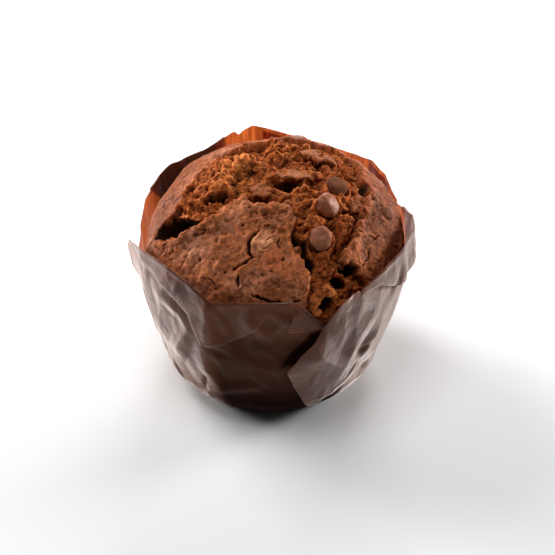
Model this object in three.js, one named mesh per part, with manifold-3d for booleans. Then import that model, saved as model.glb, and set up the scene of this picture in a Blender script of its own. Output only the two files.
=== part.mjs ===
// A bakery muffin with chocolate drops in a folded paper case.
// Millimetres, +Z up, origin at the centre of the case's flat base; -Y is the front.
import * as THREE from "three";
import { mergeVertices } from "three/addons/utils/BufferGeometryUtils.js";
import Module from "manifold-3d";

const wasm = await Module();
wasm.setup();

// ---- Driving dimensions ----
const BASE_RADIUS = 27.5; // flat foot of the case
const HEEL_HEIGHT = 11; // the rounded turn from foot to wall
const HEEL_FLARE = 8; // how far the wall moves out over the heel
const WALL_SLOPE = 0.2; // outward run of the wall per mm of height
const WALL_BULGE = 0.9; // belly of the wall, half way up
const RIM_LEVEL = 57; // mean height of the case's rim
const LEAN = 0.02; // sideways lean of the whole muffin, mm per mm of height
const PAPER = 0.5; // modelled thickness of the paper wall
const CLEARANCE = 0.55; // air between the cake and the paper

const CAKE_RADIUS = 41.5; // widest part of the muffin top
const CAKE_EDGE = 50; // height of that widest part
const DOME_HEIGHT = 22.5; // rise of the dome above it
const DOME_POWER = 2.4; // squareness of the dome's shoulder
const DOME_TILT = 0.035; // the top stands a little higher at the back

const TAU = 2 * Math.PI;

// ---- Small helpers ----
const clamp = (x, low, high) => Math.min(Math.max(x, low), high);
const lerp = (a, b, t) => a + (b - a) * t;
const radians = (degrees) => (degrees * Math.PI) / 180;

function smoothstep(low, high, x) {
  const t = clamp((x - low) / (high - low), 0, 1);
  return t * t * (3 - 2 * t);
}

// Straight-line reading of a list of [x, y] pairs in rising x.
function readLine(pairs, x) {
  const last = pairs.length - 1;
  if (x <= pairs[0][0]) return pairs[0][1];
  if (x >= pairs[last][0]) return pairs[last][1];
  const i = pairs.findIndex(([px]) => px > x);
  const [x0, y0] = pairs[i - 1];
  const [x1, y1] = pairs[i];
  return lerp(y0, y1, (x - x0) / (x1 - x0));
}

// A repeatable stream of numbers from 0 to 1.
function randomStream(seed) {
  let state = seed >>> 0;
  return () => {
    state = (Math.imul(state, 1664525) + 1013904223) >>> 0;
    return state / 4294967296;
  };
}

function indexedGeometry(points, triangles) {
  return new THREE.BufferGeometry()
    .setAttribute("position", new THREE.Float32BufferAttribute(points.flat(), 3))
    .setIndex(triangles);
}

// ---- Solids: closed three.js geometry to manifold-3d and back ----
function solidOf(geometry) {
  const bare = geometry.clone();
  bare.deleteAttribute("normal");
  bare.deleteAttribute("uv");
  const merged = mergeVertices(bare, 1e-4);
  return new wasm.Manifold(
    new wasm.Mesh({
      numProp: 3,
      vertProperties: new Float32Array(merged.attributes.position.array),
      triVerts: new Uint32Array(merged.index.array),
    }),
  );
}

function geometryOf(solid) {
  const mesh = solid.getMesh();
  const points = [];
  for (let i = 0; i < mesh.numVert; i++) {
    points.push(Array.from(mesh.vertProperties.subarray(i * mesh.numProp, i * mesh.numProp + 3)));
  }
  const geometry = indexedGeometry(points, Array.from(mesh.triVerts));
  geometry.computeVertexNormals();
  return geometry;
}

// The largest single body of a solid, so that a scrap left by a cut is dropped.
function mainBody(solid) {
  return solid.decompose().reduce((a, b) => (b.volume() > a.volume() ? b : a));
}

// ---- The paper case ----
// Radius of the round wall at a height: a curved heel, then a flaring side with a slight belly.
function wallRadius(z) {
  if (z < HEEL_HEIGHT) return BASE_RADIUS + HEEL_FLARE * (1 - (1 - z / HEEL_HEIGHT) ** 1.6);
  const rise = z - HEEL_HEIGHT;
  const belly = WALL_BULGE * Math.sin((Math.PI * rise) / (RIM_LEVEL - HEEL_HEIGHT));
  return BASE_RADIUS + HEEL_FLARE + WALL_SLOPE * rise + Math.max(belly, 0);
}

// Corners of the rim: [azimuth in degrees, height, how far it stands out of the round wall].
// Between corners the paper's edge is straight.
const RIM_CORNERS = [
  [0, 58.5, 0.6],
  [10, 55, 0],
  [21, 51.5, 0.3],
  [34, 57, -0.4],
  [43, 59, -0.8],
  [63, 58, -0.8],
  [84, 60.5, -1],
  [97, 64, -1.5],
  [103, 61.5, -1.5],
  [107, 62.5, -1],
  [122, 58.5, -0.8],
  [138, 58.5, -0.8],
  [155, 51, 0],
  [166, 46, 0.3],
  [183, 46, 0.3],
  [191, 56, 1.8],
  [205, 59.5, 0.3],
  [222, 60, -1.8],
  [234, 57.5, -1.8],
  [244, 54, -1],
  [260, 57, -0.8],
  [279, 57.5, -0.8],
  [291, 45.5, -0.2],
  [300, 52, 0],
  [307, 56, 0],
  [320, 59, -0.6],
  [333, 60, -0.8],
  [347, 60.5, 0.6],
  [360, 58.5, 0.6],
].map(([azimuth, height, out]) => {
  const radius = wallRadius(height) + out;
  const angle = radians(azimuth);
  return { angle, height, x: radius * Math.cos(angle), y: radius * Math.sin(angle) };
});

// Height and radius of the rim at an angle, on the straight edge between two corners.
function rimAt(angle) {
  const a = ((angle % TAU) + TAU) % TAU;
  const i = clamp(
    RIM_CORNERS.findIndex((c) => c.angle > a),
    1,
    RIM_CORNERS.length - 1,
  );
  const from = RIM_CORNERS[i - 1];
  const to = RIM_CORNERS[i];
  const [dx, dy] = [to.x - from.x, to.y - from.y];
  const [c, s] = [Math.cos(a), Math.sin(a)];
  const share = clamp((from.y * c - from.x * s) / (dx * s - dy * c), 0, 1);
  const [x, y] = [from.x + dx * share, from.y + dy * share];
  return { height: lerp(from.height, to.height, share), radius: Math.hypot(x, y) };
}

// Slack in the paper: shallow dents and ridges that grow from the heel up.
function slack(angle, z) {
  const grow = smoothstep(4, 26, z);
  const wave = Math.sin(7 * angle + 0.09 * z) + 0.6 * Math.sin(13 * angle - 0.14 * z + 1.3);
  return 0.28 * grow * wave;
}

// Outer radius of the case at an angle and height: round below, straight-edged at the rim.
function paperRadius(angle, z) {
  const rim = rimAt(angle);
  const out = rim.radius - wallRadius(rim.height);
  return wallRadius(z) + out * smoothstep(22, rim.height, z) + slack(angle, z);
}

function paperPoint(angle, z, offset) {
  const radius = paperRadius(angle, z) + offset;
  return [radius * Math.cos(angle) + LEAN * z, radius * Math.sin(angle), z];
}

// Columns of the case's wall: every corner of the rim, with even steps between the corners.
const LONGEST_STEP = radians(6.5);
const CASE_ANGLES = RIM_CORNERS.slice(1).flatMap((corner, i) => {
  const start = RIM_CORNERS[i].angle;
  const steps = Math.ceil((corner.angle - start) / LONGEST_STEP);
  return Array.from({ length: steps }, (_, k) => lerp(start, corner.angle, k / steps));
});
const CASE_ROWS = 8;

// Cup of paper: an outer skin, an inner skin and a rim between them, with a flat bottom.
function cupGeometry() {
  const points = [];
  const triangles = [];
  const columns = CASE_ANGLES.length;
  const skin = (offset, floor) => {
    for (let row = 0; row <= CASE_ROWS; row++) {
      for (const angle of CASE_ANGLES) {
        // Rows sit closer together round the heel.
        const z = lerp(floor, rimAt(angle).height, (row / CASE_ROWS) ** 1.4);
        points.push(paperPoint(angle, z, offset));
      }
    }
  };
  skin(0, 0);
  skin(-PAPER, PAPER);
  const inner = (CASE_ROWS + 1) * columns;
  const outerFoot = points.push([0, 0, 0]) - 1;
  const innerFoot = points.push([0, 0, PAPER]) - 1;
  for (let i = 0; i < columns; i++) {
    const next = (i + 1) % columns;
    for (let row = 0; row < CASE_ROWS; row++) {
      const [a, b] = [row * columns + i, row * columns + next];
      const [c, d] = [a + columns, b + columns];
      triangles.push(a, b, d, a, d, c);
      triangles.push(inner + a, inner + d, inner + b, inner + a, inner + c, inner + d);
    }
    const [a, b] = [CASE_ROWS * columns + i, CASE_ROWS * columns + next];
    triangles.push(a, b, inner + b, a, inner + b, inner + a);
    triangles.push(outerFoot, next, i, innerFoot, inner + i, inner + next);
  }
  return indexedGeometry(points, triangles);
}

// A folded-over piece of the sheet: a thin plate that follows the wall.
// place(a, b) gives [azimuth in degrees, height, stand-off], for a across and b down.
function flapGeometry(across, down, place) {
  const points = [];
  const triangles = [];
  const count = (across + 1) * (down + 1);
  for (const depth of [PAPER, 0]) {
    for (let j = 0; j <= down; j++) {
      for (let i = 0; i <= across; i++) {
        const [azimuth, z, lift] = place(i / across, j / down);
        points.push(paperPoint(radians(azimuth), z, lift + depth));
      }
    }
  }
  const at = (i, j, layer) => layer * count + j * (across + 1) + i;
  const quad = (a, b, c, d) => triangles.push(a, b, c, a, c, d);
  for (let j = 0; j < down; j++) {
    for (let i = 0; i < across; i++) {
      quad(at(i, j, 0), at(i, j + 1, 0), at(i + 1, j + 1, 0), at(i + 1, j, 0));
      quad(at(i, j, 1), at(i + 1, j, 1), at(i + 1, j + 1, 1), at(i, j + 1, 1));
    }
  }
  for (let i = 0; i < across; i++) {
    quad(at(i, 0, 0), at(i + 1, 0, 0), at(i + 1, 0, 1), at(i, 0, 1));
    quad(at(i, down, 0), at(i, down, 1), at(i + 1, down, 1), at(i + 1, down, 0));
  }
  for (let j = 0; j < down; j++) {
    quad(at(0, j, 0), at(0, j, 1), at(0, j + 1, 1), at(0, j + 1, 0));
    quad(at(across, j, 0), at(across, j + 1, 0), at(across, j + 1, 1), at(across, j, 1));
  }
  return indexedGeometry(points, triangles);
}

const BURIED = -0.35; // stand-off where a flap grows out of the wall

// A corner of the sheet turned down over the rim: its hem is given as [azimuth in degrees, height].
function turnedDownCorner({ hem, lift }) {
  const across = hem.length - 1;
  return flapGeometry(across, 3, (a, b) => {
    const [azimuth, hemHeight] = hem[Math.round(a * across)];
    const top = rimAt(radians(azimuth)).height - 0.6;
    const low = Math.min(hemHeight, top - 1.2);
    const hang = clamp((top - low) / 12, 0.1, 1);
    return [azimuth, lerp(top, low, b), lerp(BURIED, lift, smoothstep(0, 1, b) * hang)];
  });
}

// The large side fold of the front right, by height: its free left edge and its right end, in degrees.
const SIDE_FOLD_EDGE = [
  [8, 287],
  [20, 280],
  [29, 276],
  [36.5, 281],
  [45, 290],
  [57, 301],
];
const SIDE_FOLD_END = [
  [8, 300],
  [12, 309],
  [20, 330],
  [34, 332],
  [44, 321],
  [57, 304],
];

function sideFold() {
  return flapGeometry(6, 9, (a, b) => {
    const z = lerp(56, 8.5, b);
    const azimuth = lerp(readLine(SIDE_FOLD_EDGE, z), readLine(SIDE_FOLD_END, z), a);
    const foot = smoothstep(8, 24, z);
    return [azimuth, z, lerp(1.5 * foot, BURIED, smoothstep(0, 1, a))];
  });
}

// A pleat pressed flat: an upright tuck that leans to one side and dies out towards the heel.
function pleat({ azimuth, width, slant, lift }) {
  return flapGeometry(3, 6, (a, b) => {
    const top = rimAt(radians(azimuth)).height - 2;
    const z = lerp(top, 9, b);
    const shift = slant * (1 - b);
    return [azimuth + shift + width * (a - 0.5) * (1 - 0.45 * b), z, lerp(lerp(lift, BURIED, b), BURIED, a)];
  });
}

const TURNED_CORNERS = [
  {
    // front left
    hem: [
      [196, 57],
      [211, 54],
      [220, 51],
      [232, 45],
      [238, 34.8],
      [242, 34.6],
      [249, 38],
      [257, 42],
      [262, 46],
      [269, 53],
      [277, 56.5],
    ],
    lift: 1.1,
  },
  {
    // right
    hem: [
      [305, 55],
      [316, 54],
      [329, 47.5],
      [336, 45],
      [344, 50],
      [352, 57],
      [358, 57.5],
    ],
    lift: 1.3,
  },
  {
    // back
    hem: [
      [104, 58],
      [112, 48],
      [124, 40],
      [136, 44],
      [150, 47],
      [162, 45],
    ],
    lift: 1.1,
  },
];
const PLEATS = [
  { azimuth: 28, width: 20, slant: 6, lift: 0.9 },
  { azimuth: 80, width: 18, slant: 6, lift: 0.9 },
  { azimuth: 172, width: 16, slant: -4, lift: 0.8 },
];

function caseGeometry() {
  const flaps = [sideFold(), ...TURNED_CORNERS.map(turnedDownCorner), ...PLEATS.map(pleat)];
  const joined = flaps.reduce((whole, flap) => whole.add(solidOf(flap)), solidOf(cupGeometry()));
  return geometryOf(mainBody(joined));
}

// ---- The cake ----
// Places on the top are written on a flat map of the crust, as if it were peeled off: [u, v] lies
// hypot(u, v) mm from the crown, measured along the crust, in its own direction.

// Radius of the cake inside the case, under its widest part.
function cakeSideRadius(z) {
  const inside = wallRadius(z) - PAPER - CLEARANCE - 1.1 * smoothstep(16, CAKE_EDGE, z);
  return Math.min(inside, CAKE_RADIUS);
}

// The cake's side view, from the crown over the widest part and a little way down inside the case:
// arc length, radius and height.
const DOME_STEPS = 400;
const SIDE_REACH = 6; // how far the map runs down the side
const CAKE_PROFILE = (() => {
  const rows = [{ arc: 0, radius: 0, height: CAKE_EDGE + DOME_HEIGHT }];
  const add = (radius, height) => {
    const last = rows[rows.length - 1];
    rows.push({ arc: last.arc + Math.hypot(radius - last.radius, height - last.height), radius, height });
  };
  for (let k = 1; k <= DOME_STEPS; k++) {
    const slope = (Math.PI / 2) * (k / DOME_STEPS);
    add(CAKE_RADIUS * Math.sin(slope) ** (2 / DOME_POWER), CAKE_EDGE + DOME_HEIGHT * Math.cos(slope));
  }
  for (let drop = 1; drop <= SIDE_REACH; drop++) add(cakeSideRadius(CAKE_EDGE - drop), CAKE_EDGE - drop);
  return rows;
})();
const DOME_ARC = CAKE_PROFILE[DOME_STEPS].arc;
const MAP_ARC = CAKE_PROFILE[CAKE_PROFILE.length - 1].arc;

// The smooth cake at a place on the map: the point and the outward normal.
function cakeAt(u, v) {
  const arc = clamp(Math.hypot(u, v), 0, MAP_ARC);
  const k = clamp(
    CAKE_PROFILE.findIndex((row) => row.arc >= arc),
    1,
    CAKE_PROFILE.length - 1,
  );
  const [from, to] = [CAKE_PROFILE[k - 1], CAKE_PROFILE[k]];
  const t = (arc - from.arc) / (to.arc - from.arc);
  const radius = lerp(from.radius, to.radius, t);
  const [c, s] = arc > 0 ? [u / Math.hypot(u, v), v / Math.hypot(u, v)] : [1, 0];
  const [along, drop] = [to.radius - from.radius, from.height - to.height];
  const lift = DOME_TILT * radius * s * (1 - Math.min(arc / DOME_ARC, 1) ** 2);
  const point = new THREE.Vector3(radius * c, radius * s, lerp(from.height, to.height, t) + lift);
  return { point, normal: new THREE.Vector3(drop * c, drop * s, along).normalize() };
}

// Outline of the torn zone, where the crust has split and the crumb swells out, on the map.
const TORN_OUTLINE = [
  [-39.8, -14.2],
  [-36.6, -10.8],
  [-32.6, -8.4],
  [-30.2, -3.8],
  [-26.2, 5.5],
  [-24, 10.2],
  [-15.2, 18.8],
  [-4.2, 22.8],
  [3, 26.5],
  [10, 27],
  [18.2, 23.5],
  [25, 19.5],
  [28.5, 13],
  [28, 6],
  [30.5, 1],
  [28, -3.5],
  [27.8, -12.8],
  [25.8, -19],
  [22.6, -26.5],
  [21.8, -31],
  [25.5, -32.4],
  [33, -36.5],
  [31, -41],
  [26, -43.5],
  [25.5, -47.8],
  [21, -51.6],
  [15.5, -51.6],
  [11.4, -47.4],
  [11, -36.2],
  [7, -28.5],
  [5.6, -24.5],
  [7, -18],
  [5, -13],
  [-7, -12.2],
  [-10, -8.4],
  [-19.5, -15.2],
  [-31.5, -19],
  [-36, -17.4],
];
// Dark holes and dents: [u, v, half length, half width, turn in degrees, depth].
const HOLES = [
  [-31.2, -15, 9, 2.8, 0, 9],
  [-18.2, -7.8, 3.4, 2, 20, 5],
  [-4.8, -10.4, 3.4, 1.7, -8, 5],
  [7.8, -28.3, 4.6, 2.1, -63, 6],
  [11.4, -34, 2.9, 2, -60, 5],
  [26.5, 2.6, 4.4, 1.8, -8, 4.5],
  [24.4, -12.8, 3.6, 2, -8, 4.5],
  [24.8, -33, 3.8, 2.3, 12, 5],
  [22.6, -38.4, 4.2, 2.2, 0, 3.5],
  [8, -1.4, 7.4, 1.7, -4, 4],
];
// Raised lumps and broken pieces of crust: [u, v, half length, half width, turn in degrees, rise].
const LUMPS = [
  [-11.5, 6.4, 5, 4.4, 50, 2.6],
  [-16.6, -1.8, 4.8, 3.8, 40, 2.2],
  [-12.8, -5.6, 3.8, 2.6, -10, 1.6],
  [-4, -7, 4, 3.2, -10, 2.6],
  [6, 2.6, 7.4, 4.8, -8, 2.8],
  [15, 14.4, 7, 4.6, -30, 2],
  [27.4, -5.6, 4.4, 5, 10, 1.8],
  [12.5, -21.2, 3.4, 3.4, 0, 1.8],
  [22.2, -19.5, 4, 4.4, 10, 1.8],
  [-2, 19, 6, 4, 20, 1.2],
  [3.2, -39, 5, 6, 0, 0.9],
];
const CRATER = { u: 19.2, v: -46.6, rim: 4, rise: 1.9, hole: 2.5, depth: 5.5 };
const LIP = { rise: 0.9, reach: 6 }; // the crust curls up along the tear
const TEAR = { drop: 2.3, swell: 1.9, reach: 9 }; // the crumb starts low and swells to the middle

// Signed distance to the torn zone's outline: positive inside.
function insideTear(u, v) {
  let nearest = Infinity;
  let inside = false;
  TORN_OUTLINE.forEach(([u1, v1], i) => {
    const [u0, v0] = TORN_OUTLINE.at(i - 1);
    const [du, dv] = [u1 - u0, v1 - v0];
    const t = clamp(((u - u0) * du + (v - v0) * dv) / (du * du + dv * dv), 0, 1);
    nearest = Math.min(nearest, Math.hypot(u - u0 - du * t, v - v0 - dv * t));
    if (v0 > v !== v1 > v && u < u0 + (du * (v - v0)) / dv) inside = !inside;
  });
  return inside ? nearest : -nearest;
}

// A smooth oval bump of height 1: 1 in the middle, 0 outside.
function oval([cu, cv, length, width, turn], u, v) {
  const [c, s] = [Math.cos(radians(turn)), Math.sin(radians(turn))];
  const [du, dv] = [u - cu, v - cv];
  const reach = Math.hypot((du * c + dv * s) / length, (dv * c - du * s) / width);
  return 1 - smoothstep(0.45, 1.2, reach);
}

// Rounded clumps of crumb, scattered over the torn zone by a seeded draw.
const CLUMPS = (() => {
  const next = randomStream(11);
  const made = [];
  while (made.length < 170) {
    const [u, v] = [lerp(-38, 30, next()), lerp(-48, 28, next())];
    const [radius, rise] = [lerp(1.7, 3.6, next()), lerp(0.6, 1.8, next())];
    if (insideTear(u, v) > 0.6 * radius) made.push({ u, v, radius, rise });
  }
  return made;
})();

function clumpRise(u, v) {
  let rise = 0;
  for (const clump of CLUMPS) {
    const reach = Math.hypot(u - clump.u, v - clump.v) / clump.radius;
    if (reach < 1) rise = Math.max(rise, clump.rise * Math.sqrt(1 - reach * reach));
  }
  return rise;
}

// The crater near the front edge: a raised ring of crumb round a deep hole.
function craterRise(u, v) {
  const reach = Math.hypot(u - CRATER.u, v - CRATER.v);
  const ring = CRATER.rise * Math.exp(-(((reach - CRATER.rim) / 1.3) ** 2));
  return ring - CRATER.depth * (1 - smoothstep(1, CRATER.hole + 0.8, reach));
}

// Relief of the top over the smooth dome, in mm along the dome's normal.
function relief(u, v) {
  const inside = insideTear(u, v);
  const torn = smoothstep(-0.4, 1.1, inside);
  let h = LIP.rise * smoothstep(-LIP.reach, -0.8, inside) * (1 - torn);
  h += torn * (TEAR.swell * smoothstep(1, TEAR.reach, inside) - TEAR.drop + clumpRise(u, v));
  for (const hole of HOLES) h -= hole[5] * oval(hole, u, v);
  for (const lump of LUMPS) h += lump[5] * oval(lump, u, v);
  const swell = Math.sin(0.19 * u + 0.6) * Math.sin(0.17 * v - 0.4);
  return h + craterRise(u, v) + 0.6 * swell;
}

function cakeTopPoint(u, v) {
  const { point, normal } = cakeAt(u, v);
  // The relief fades out at the map's edge, so that the sides under it stay plain.
  const h = relief(u, v) * (1 - smoothstep(MAP_ARC - 3, MAP_ARC, Math.hypot(u, v)));
  const [x, y, z] = [point.x + normal.x * h, point.y + normal.y * h, point.z + normal.z * h];
  // Below the rim the crust keeps inside the paper.
  const angle = Math.atan2(y, x);
  const room = z < rimAt(angle).height + 1 ? paperRadius(angle, z) - PAPER - CLEARANCE : Infinity;
  const squeeze = Math.min(1, room / Math.max(Math.hypot(x, y), 1));
  return [x * squeeze + LEAN * z, y * squeeze, z];
}

const TOP_CELLS = 52; // cells across the map
const SIDE_ROWS = 3;

// A square grid pulled round to a disc: corner (a, b) from -1 to 1 gives a place in the unit disc.
function discPlace(a, b) {
  if (a === 0 && b === 0) return [0, 0];
  const wide = Math.abs(a) > Math.abs(b);
  const angle = wide
    ? (Math.PI / 4) * (b / a) + (a < 0 ? Math.PI : 0)
    : Math.PI / 2 - (Math.PI / 4) * (a / b) + (b < 0 ? Math.PI : 0);
  const reach = Math.max(Math.abs(a), Math.abs(b));
  return [reach * Math.cos(angle), reach * Math.sin(angle)];
}

function cakeGeometry() {
  const points = [];
  const triangles = [];
  const wide = TOP_CELLS + 1;
  for (let j = 0; j < wide; j++) {
    for (let i = 0; i < wide; i++) {
      const [a, b] = discPlace((2 * i) / TOP_CELLS - 1, (2 * j) / TOP_CELLS - 1);
      points.push(cakeTopPoint(a * MAP_ARC, b * MAP_ARC));
    }
  }
  for (let j = 0; j < TOP_CELLS; j++) {
    for (let i = 0; i < TOP_CELLS; i++) {
      const [a, b, c, d] = [j * wide + i, j * wide + i + 1, (j + 1) * wide + i + 1, (j + 1) * wide + i];
      // Each cell is cut along the diagonal that points to the middle, which keeps the corners fair.
      const outward = (2 * i < TOP_CELLS) === (2 * j < TOP_CELLS);
      if (outward) triangles.push(a, b, c, a, c, d);
      else triangles.push(a, b, d, b, c, d);
    }
  }
  // The grid's border, once round, anticlockwise from above.
  let ring = [];
  for (let k = 0; k < TOP_CELLS; k++) ring.push(k);
  for (let k = 0; k < TOP_CELLS; k++) ring.push(k * wide + TOP_CELLS);
  for (let k = TOP_CELLS; k > 0; k--) ring.push(TOP_CELLS * wide + k);
  for (let k = TOP_CELLS; k > 0; k--) ring.push(k * wide);
  const angles = ring.map((k) => Math.atan2(points[k][1], points[k][0] - LEAN * points[k][2]));
  const foot = PAPER + 0.4;
  for (let row = 1; row <= SIDE_ROWS; row++) {
    const z = lerp(foot, CAKE_EDGE - SIDE_REACH, (1 - row / SIDE_ROWS) ** 1.5);
    const radius = cakeSideRadius(z);
    const below = angles.map(
      (angle) => points.push([radius * Math.cos(angle) + LEAN * z, radius * Math.sin(angle), z]) - 1,
    );
    ring.forEach((a, k) => {
      const n = (k + 1) % ring.length;
      triangles.push(a, below[k], below[n], a, below[n], ring[n]);
    });
    ring = below;
  }
  const middle = points.push([0, 0, foot]) - 1;
  ring.forEach((a, k) => triangles.push(a, middle, ring[(k + 1) % ring.length]));
  return indexedGeometry(points, triangles);
}

// ---- Chocolate drops ----
// Each drop: place on the map, half length, half width, half thickness, how far its middle stands
// above the crumb round it, and the direction that its flat face looks in. The left one stands on
// its edge, so that only a ridge of it shows.
const DROPS = {
  drop_middle: { place: [15.4, -13], half: [4, 3.8, 2.4], rise: 0.9, face: [0.5, -0.55, 0.67] },
  drop_upper: { place: [18.7, -3.9], half: [4, 3.5, 2], rise: 0.3, face: [0.5, -0.3, 0.8] },
  drop_lower: { place: [13.9, -25.7], half: [3.6, 3.6, 2.2], rise: 1.2, face: [0.12, -0.72, 0.68] },
  drop_right: { place: [37.8, -4.4], half: [2.6, 2.1, 1.6], rise: 0, face: [0.75, -0.35, 0.55] },
  drop_left: { place: [-15, -20.6], half: [4.2, 2.8, 1.2], rise: -1.7, face: [-0.8, -0.55, 0.25] },
  drop_back: { place: [8, 41], half: [3.9, 3.8, 2.4], rise: 0.3, face: [0.1, 0.7, 0.7] },
  drop_far: { place: [-22, 37], half: [3.3, 3, 2], rise: 0, face: [-0.4, 0.6, 0.7] },
};
const SOCKET_GAP = 0.3;

// Side view of a drop, as shares of its half sizes: a rounded underside, a soft rim and a flat face.
const DROP_PROFILE = [
  [0, -1],
  [0.62, -0.8],
  [0.93, -0.25],
  [1, 0.35],
  [0.92, 0.78],
  [0.74, 0.96],
  [0, 1],
].map(([across, up]) => new THREE.Vector2(across, up));

function dropGeometry({ half: [length, width, thickness] }, grow) {
  return new THREE.LatheGeometry(DROP_PROFILE, 13)
    .rotateX(Math.PI / 2)
    .scale(length + grow, width + grow, thickness + grow);
}

// Where a drop sits: above the mean level of the crumb round it, turned to its face.
function dropPlacement({ place: [u, v], half, rise, face }) {
  const { point, normal } = cakeAt(u, v);
  let level = 0;
  const samples = 12;
  for (let k = 0; k < samples; k++) {
    const angle = (TAU * k) / samples;
    level += relief(u + half[0] * Math.cos(angle), v + half[1] * Math.sin(angle)) / samples;
  }
  const centre = new THREE.Vector3(point.x + LEAN * point.z, point.y, point.z);
  centre.addScaledVector(normal, level + rise);
  // The drop's own axis turns to the face, its length stays crosswise and level.
  const axis = new THREE.Vector3(...face).normalize();
  const across = new THREE.Vector3(0, 0, 1).cross(axis).normalize();
  const basis = new THREE.Matrix4().makeBasis(across, axis.clone().cross(across), axis);
  return { centre, turn: new THREE.Quaternion().setFromRotationMatrix(basis) };
}

function socketOf(drop) {
  const { centre, turn } = dropPlacement(drop);
  const placed = dropGeometry(drop, SOCKET_GAP).applyQuaternion(turn);
  return solidOf(placed.translate(centre.x, centre.y, centre.z));
}

// ---- Materials and the finished group ----
const CRUST = new THREE.MeshStandardMaterial({ color: 0x8a5236, roughness: 0.85, metalness: 0 });
const CHOCOLATE = new THREE.MeshStandardMaterial({ color: 0x5d3728, roughness: 0.4, metalness: 0 });
const BAKING_PAPER = new THREE.MeshStandardMaterial({ color: 0x4a3026, roughness: 0.5, metalness: 0 });

const muffin = new THREE.Group();

function addPart(name, geometry, material) {
  const mesh = new THREE.Mesh(geometry, material);
  mesh.name = name;
  muffin.add(mesh);
  return mesh;
}

const socketed = Object.values(DROPS).reduce(
  (cake, drop) => cake.subtract(socketOf(drop)),
  solidOf(cakeGeometry()),
);
addPart("cake", geometryOf(mainBody(socketed)), CRUST);
addPart("paper_case", caseGeometry(), BAKING_PAPER);
for (const [name, drop] of Object.entries(DROPS)) {
  const mesh = addPart(name, dropGeometry(drop, 0), CHOCOLATE);
  const { centre, turn } = dropPlacement(drop);
  mesh.position.copy(centre);
  mesh.quaternion.copy(turn);
}

export default muffin;
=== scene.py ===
"""A chocolate muffin with a torn top, in a folded paper case, dressed over its CAD frame.

Shapes are worked out in millimetres and written into the meshes in metres. The origin is the
centre of the case's flat base, +Z is up and -Y is the front.
"""

import math

import bpy
import numpy as np
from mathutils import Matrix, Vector


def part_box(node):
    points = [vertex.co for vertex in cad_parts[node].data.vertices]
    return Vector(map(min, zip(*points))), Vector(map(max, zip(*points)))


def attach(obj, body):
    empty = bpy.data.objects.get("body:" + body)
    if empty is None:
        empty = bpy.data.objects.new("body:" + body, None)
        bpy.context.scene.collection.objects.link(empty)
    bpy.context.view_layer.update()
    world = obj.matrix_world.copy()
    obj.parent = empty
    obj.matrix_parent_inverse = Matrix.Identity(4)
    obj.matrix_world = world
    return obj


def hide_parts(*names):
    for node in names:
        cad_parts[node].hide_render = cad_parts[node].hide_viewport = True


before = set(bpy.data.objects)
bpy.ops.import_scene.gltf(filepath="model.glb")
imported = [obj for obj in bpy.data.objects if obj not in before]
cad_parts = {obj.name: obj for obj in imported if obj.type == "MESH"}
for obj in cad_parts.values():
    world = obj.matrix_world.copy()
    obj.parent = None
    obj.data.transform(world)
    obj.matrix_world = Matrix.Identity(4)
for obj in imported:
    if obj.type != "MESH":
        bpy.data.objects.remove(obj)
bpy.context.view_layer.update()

MM = 0.001
TAU = 2 * math.pi

# ---- The case, in mm ----
BASE_RADIUS = 27.5
HEEL_HEIGHT = 11.0
HEEL_FLARE = 8.0  # how much the curved heel widens the wall
HEEL_POWER = 1.6
WALL_SLOPE = 0.2
WALL_BULGE = 0.9
RIM_LEVEL = 57.0  # middling height of the rim
RIM_START = 22.0  # height from which the wall turns from round to straight-edged
LEAN = 0.02  # sideways lean of the whole muffin, mm per mm of height
PAPER = 0.16  # drawn thickness of one layer of paper
PAPER_ROOM = 1.1  # least room between the round wall and the cake's relief
SHEET_RADIUS = 40.0  # radius at which the wall is laid flat to place its folds

# ---- The cake, in mm ----
CAKE_RADIUS = 41.5
CAKE_EDGE = 50.0  # height of the widest part
CAKE_FOOT = 0.9
SIDE_ROOM = 1.05  # room between the case and the cake's smooth side, at the foot
SHOULDER_ROOM = 1.1  # how much wider that room is at the widest part
DOME_HEIGHT = 22.5
DOME_POWER = 2.4
DOME_TILT = 0.035


# ======== Repeatable noise, as whole arrays ========
def scatter(ix, iy, seed):
    """A number from 0 to 1 for each whole-number place: its bits mixed by multiplying and folding."""
    ix = np.asarray(ix, dtype=np.int64)
    iy = np.asarray(iy, dtype=np.int64)
    mixed = (ix * 374761393 + iy * 668265263 + seed * 974634777) & 0xFFFFFFFF
    mixed = ((mixed ^ (mixed >> 13)) * 1274126177) & 0xFFFFFFFF
    mixed = ((mixed ^ (mixed >> 15)) * 2246822519) & 0xFFFFFFFF
    return ((mixed ^ (mixed >> 16)) & 0xFFFFFF) / float(0x1000000)


def waves(x, y, size, seed):
    """Soft noise from -1 to 1: the corners' numbers of each square of that size, blended by a smooth fade."""
    x = x / size
    y = y / size
    ix = np.floor(x).astype(np.int64)
    iy = np.floor(y).astype(np.int64)
    fx = x - ix
    fy = y - iy
    fx = fx * fx * fx * (fx * (6 * fx - 15) + 10)
    fy = fy * fy * fy * (fy * (6 * fy - 15) + 10)
    low = scatter(ix, iy, seed) * (1 - fx) + scatter(ix + 1, iy, seed) * fx
    high = scatter(ix, iy + 1, seed) * (1 - fx) + scatter(ix + 1, iy + 1, seed) * fx
    return 2 * (low * (1 - fy) + high * fy) - 1


def rough(x, y, size, octaves, seed, gain=0.5):
    """Noise on several scales: each octave is half as large and gain times as strong, turned a little."""
    total = 0.0
    strength = 1.0
    whole = 0.0
    for octave in range(octaves):
        total = total + strength * waves(x, y, size, seed + 17 * octave)
        whole += strength
        strength *= gain
        size *= 0.5
        x, y = 0.8 * x - 0.6 * y, 0.6 * x + 0.8 * y
    return total / whole


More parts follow.
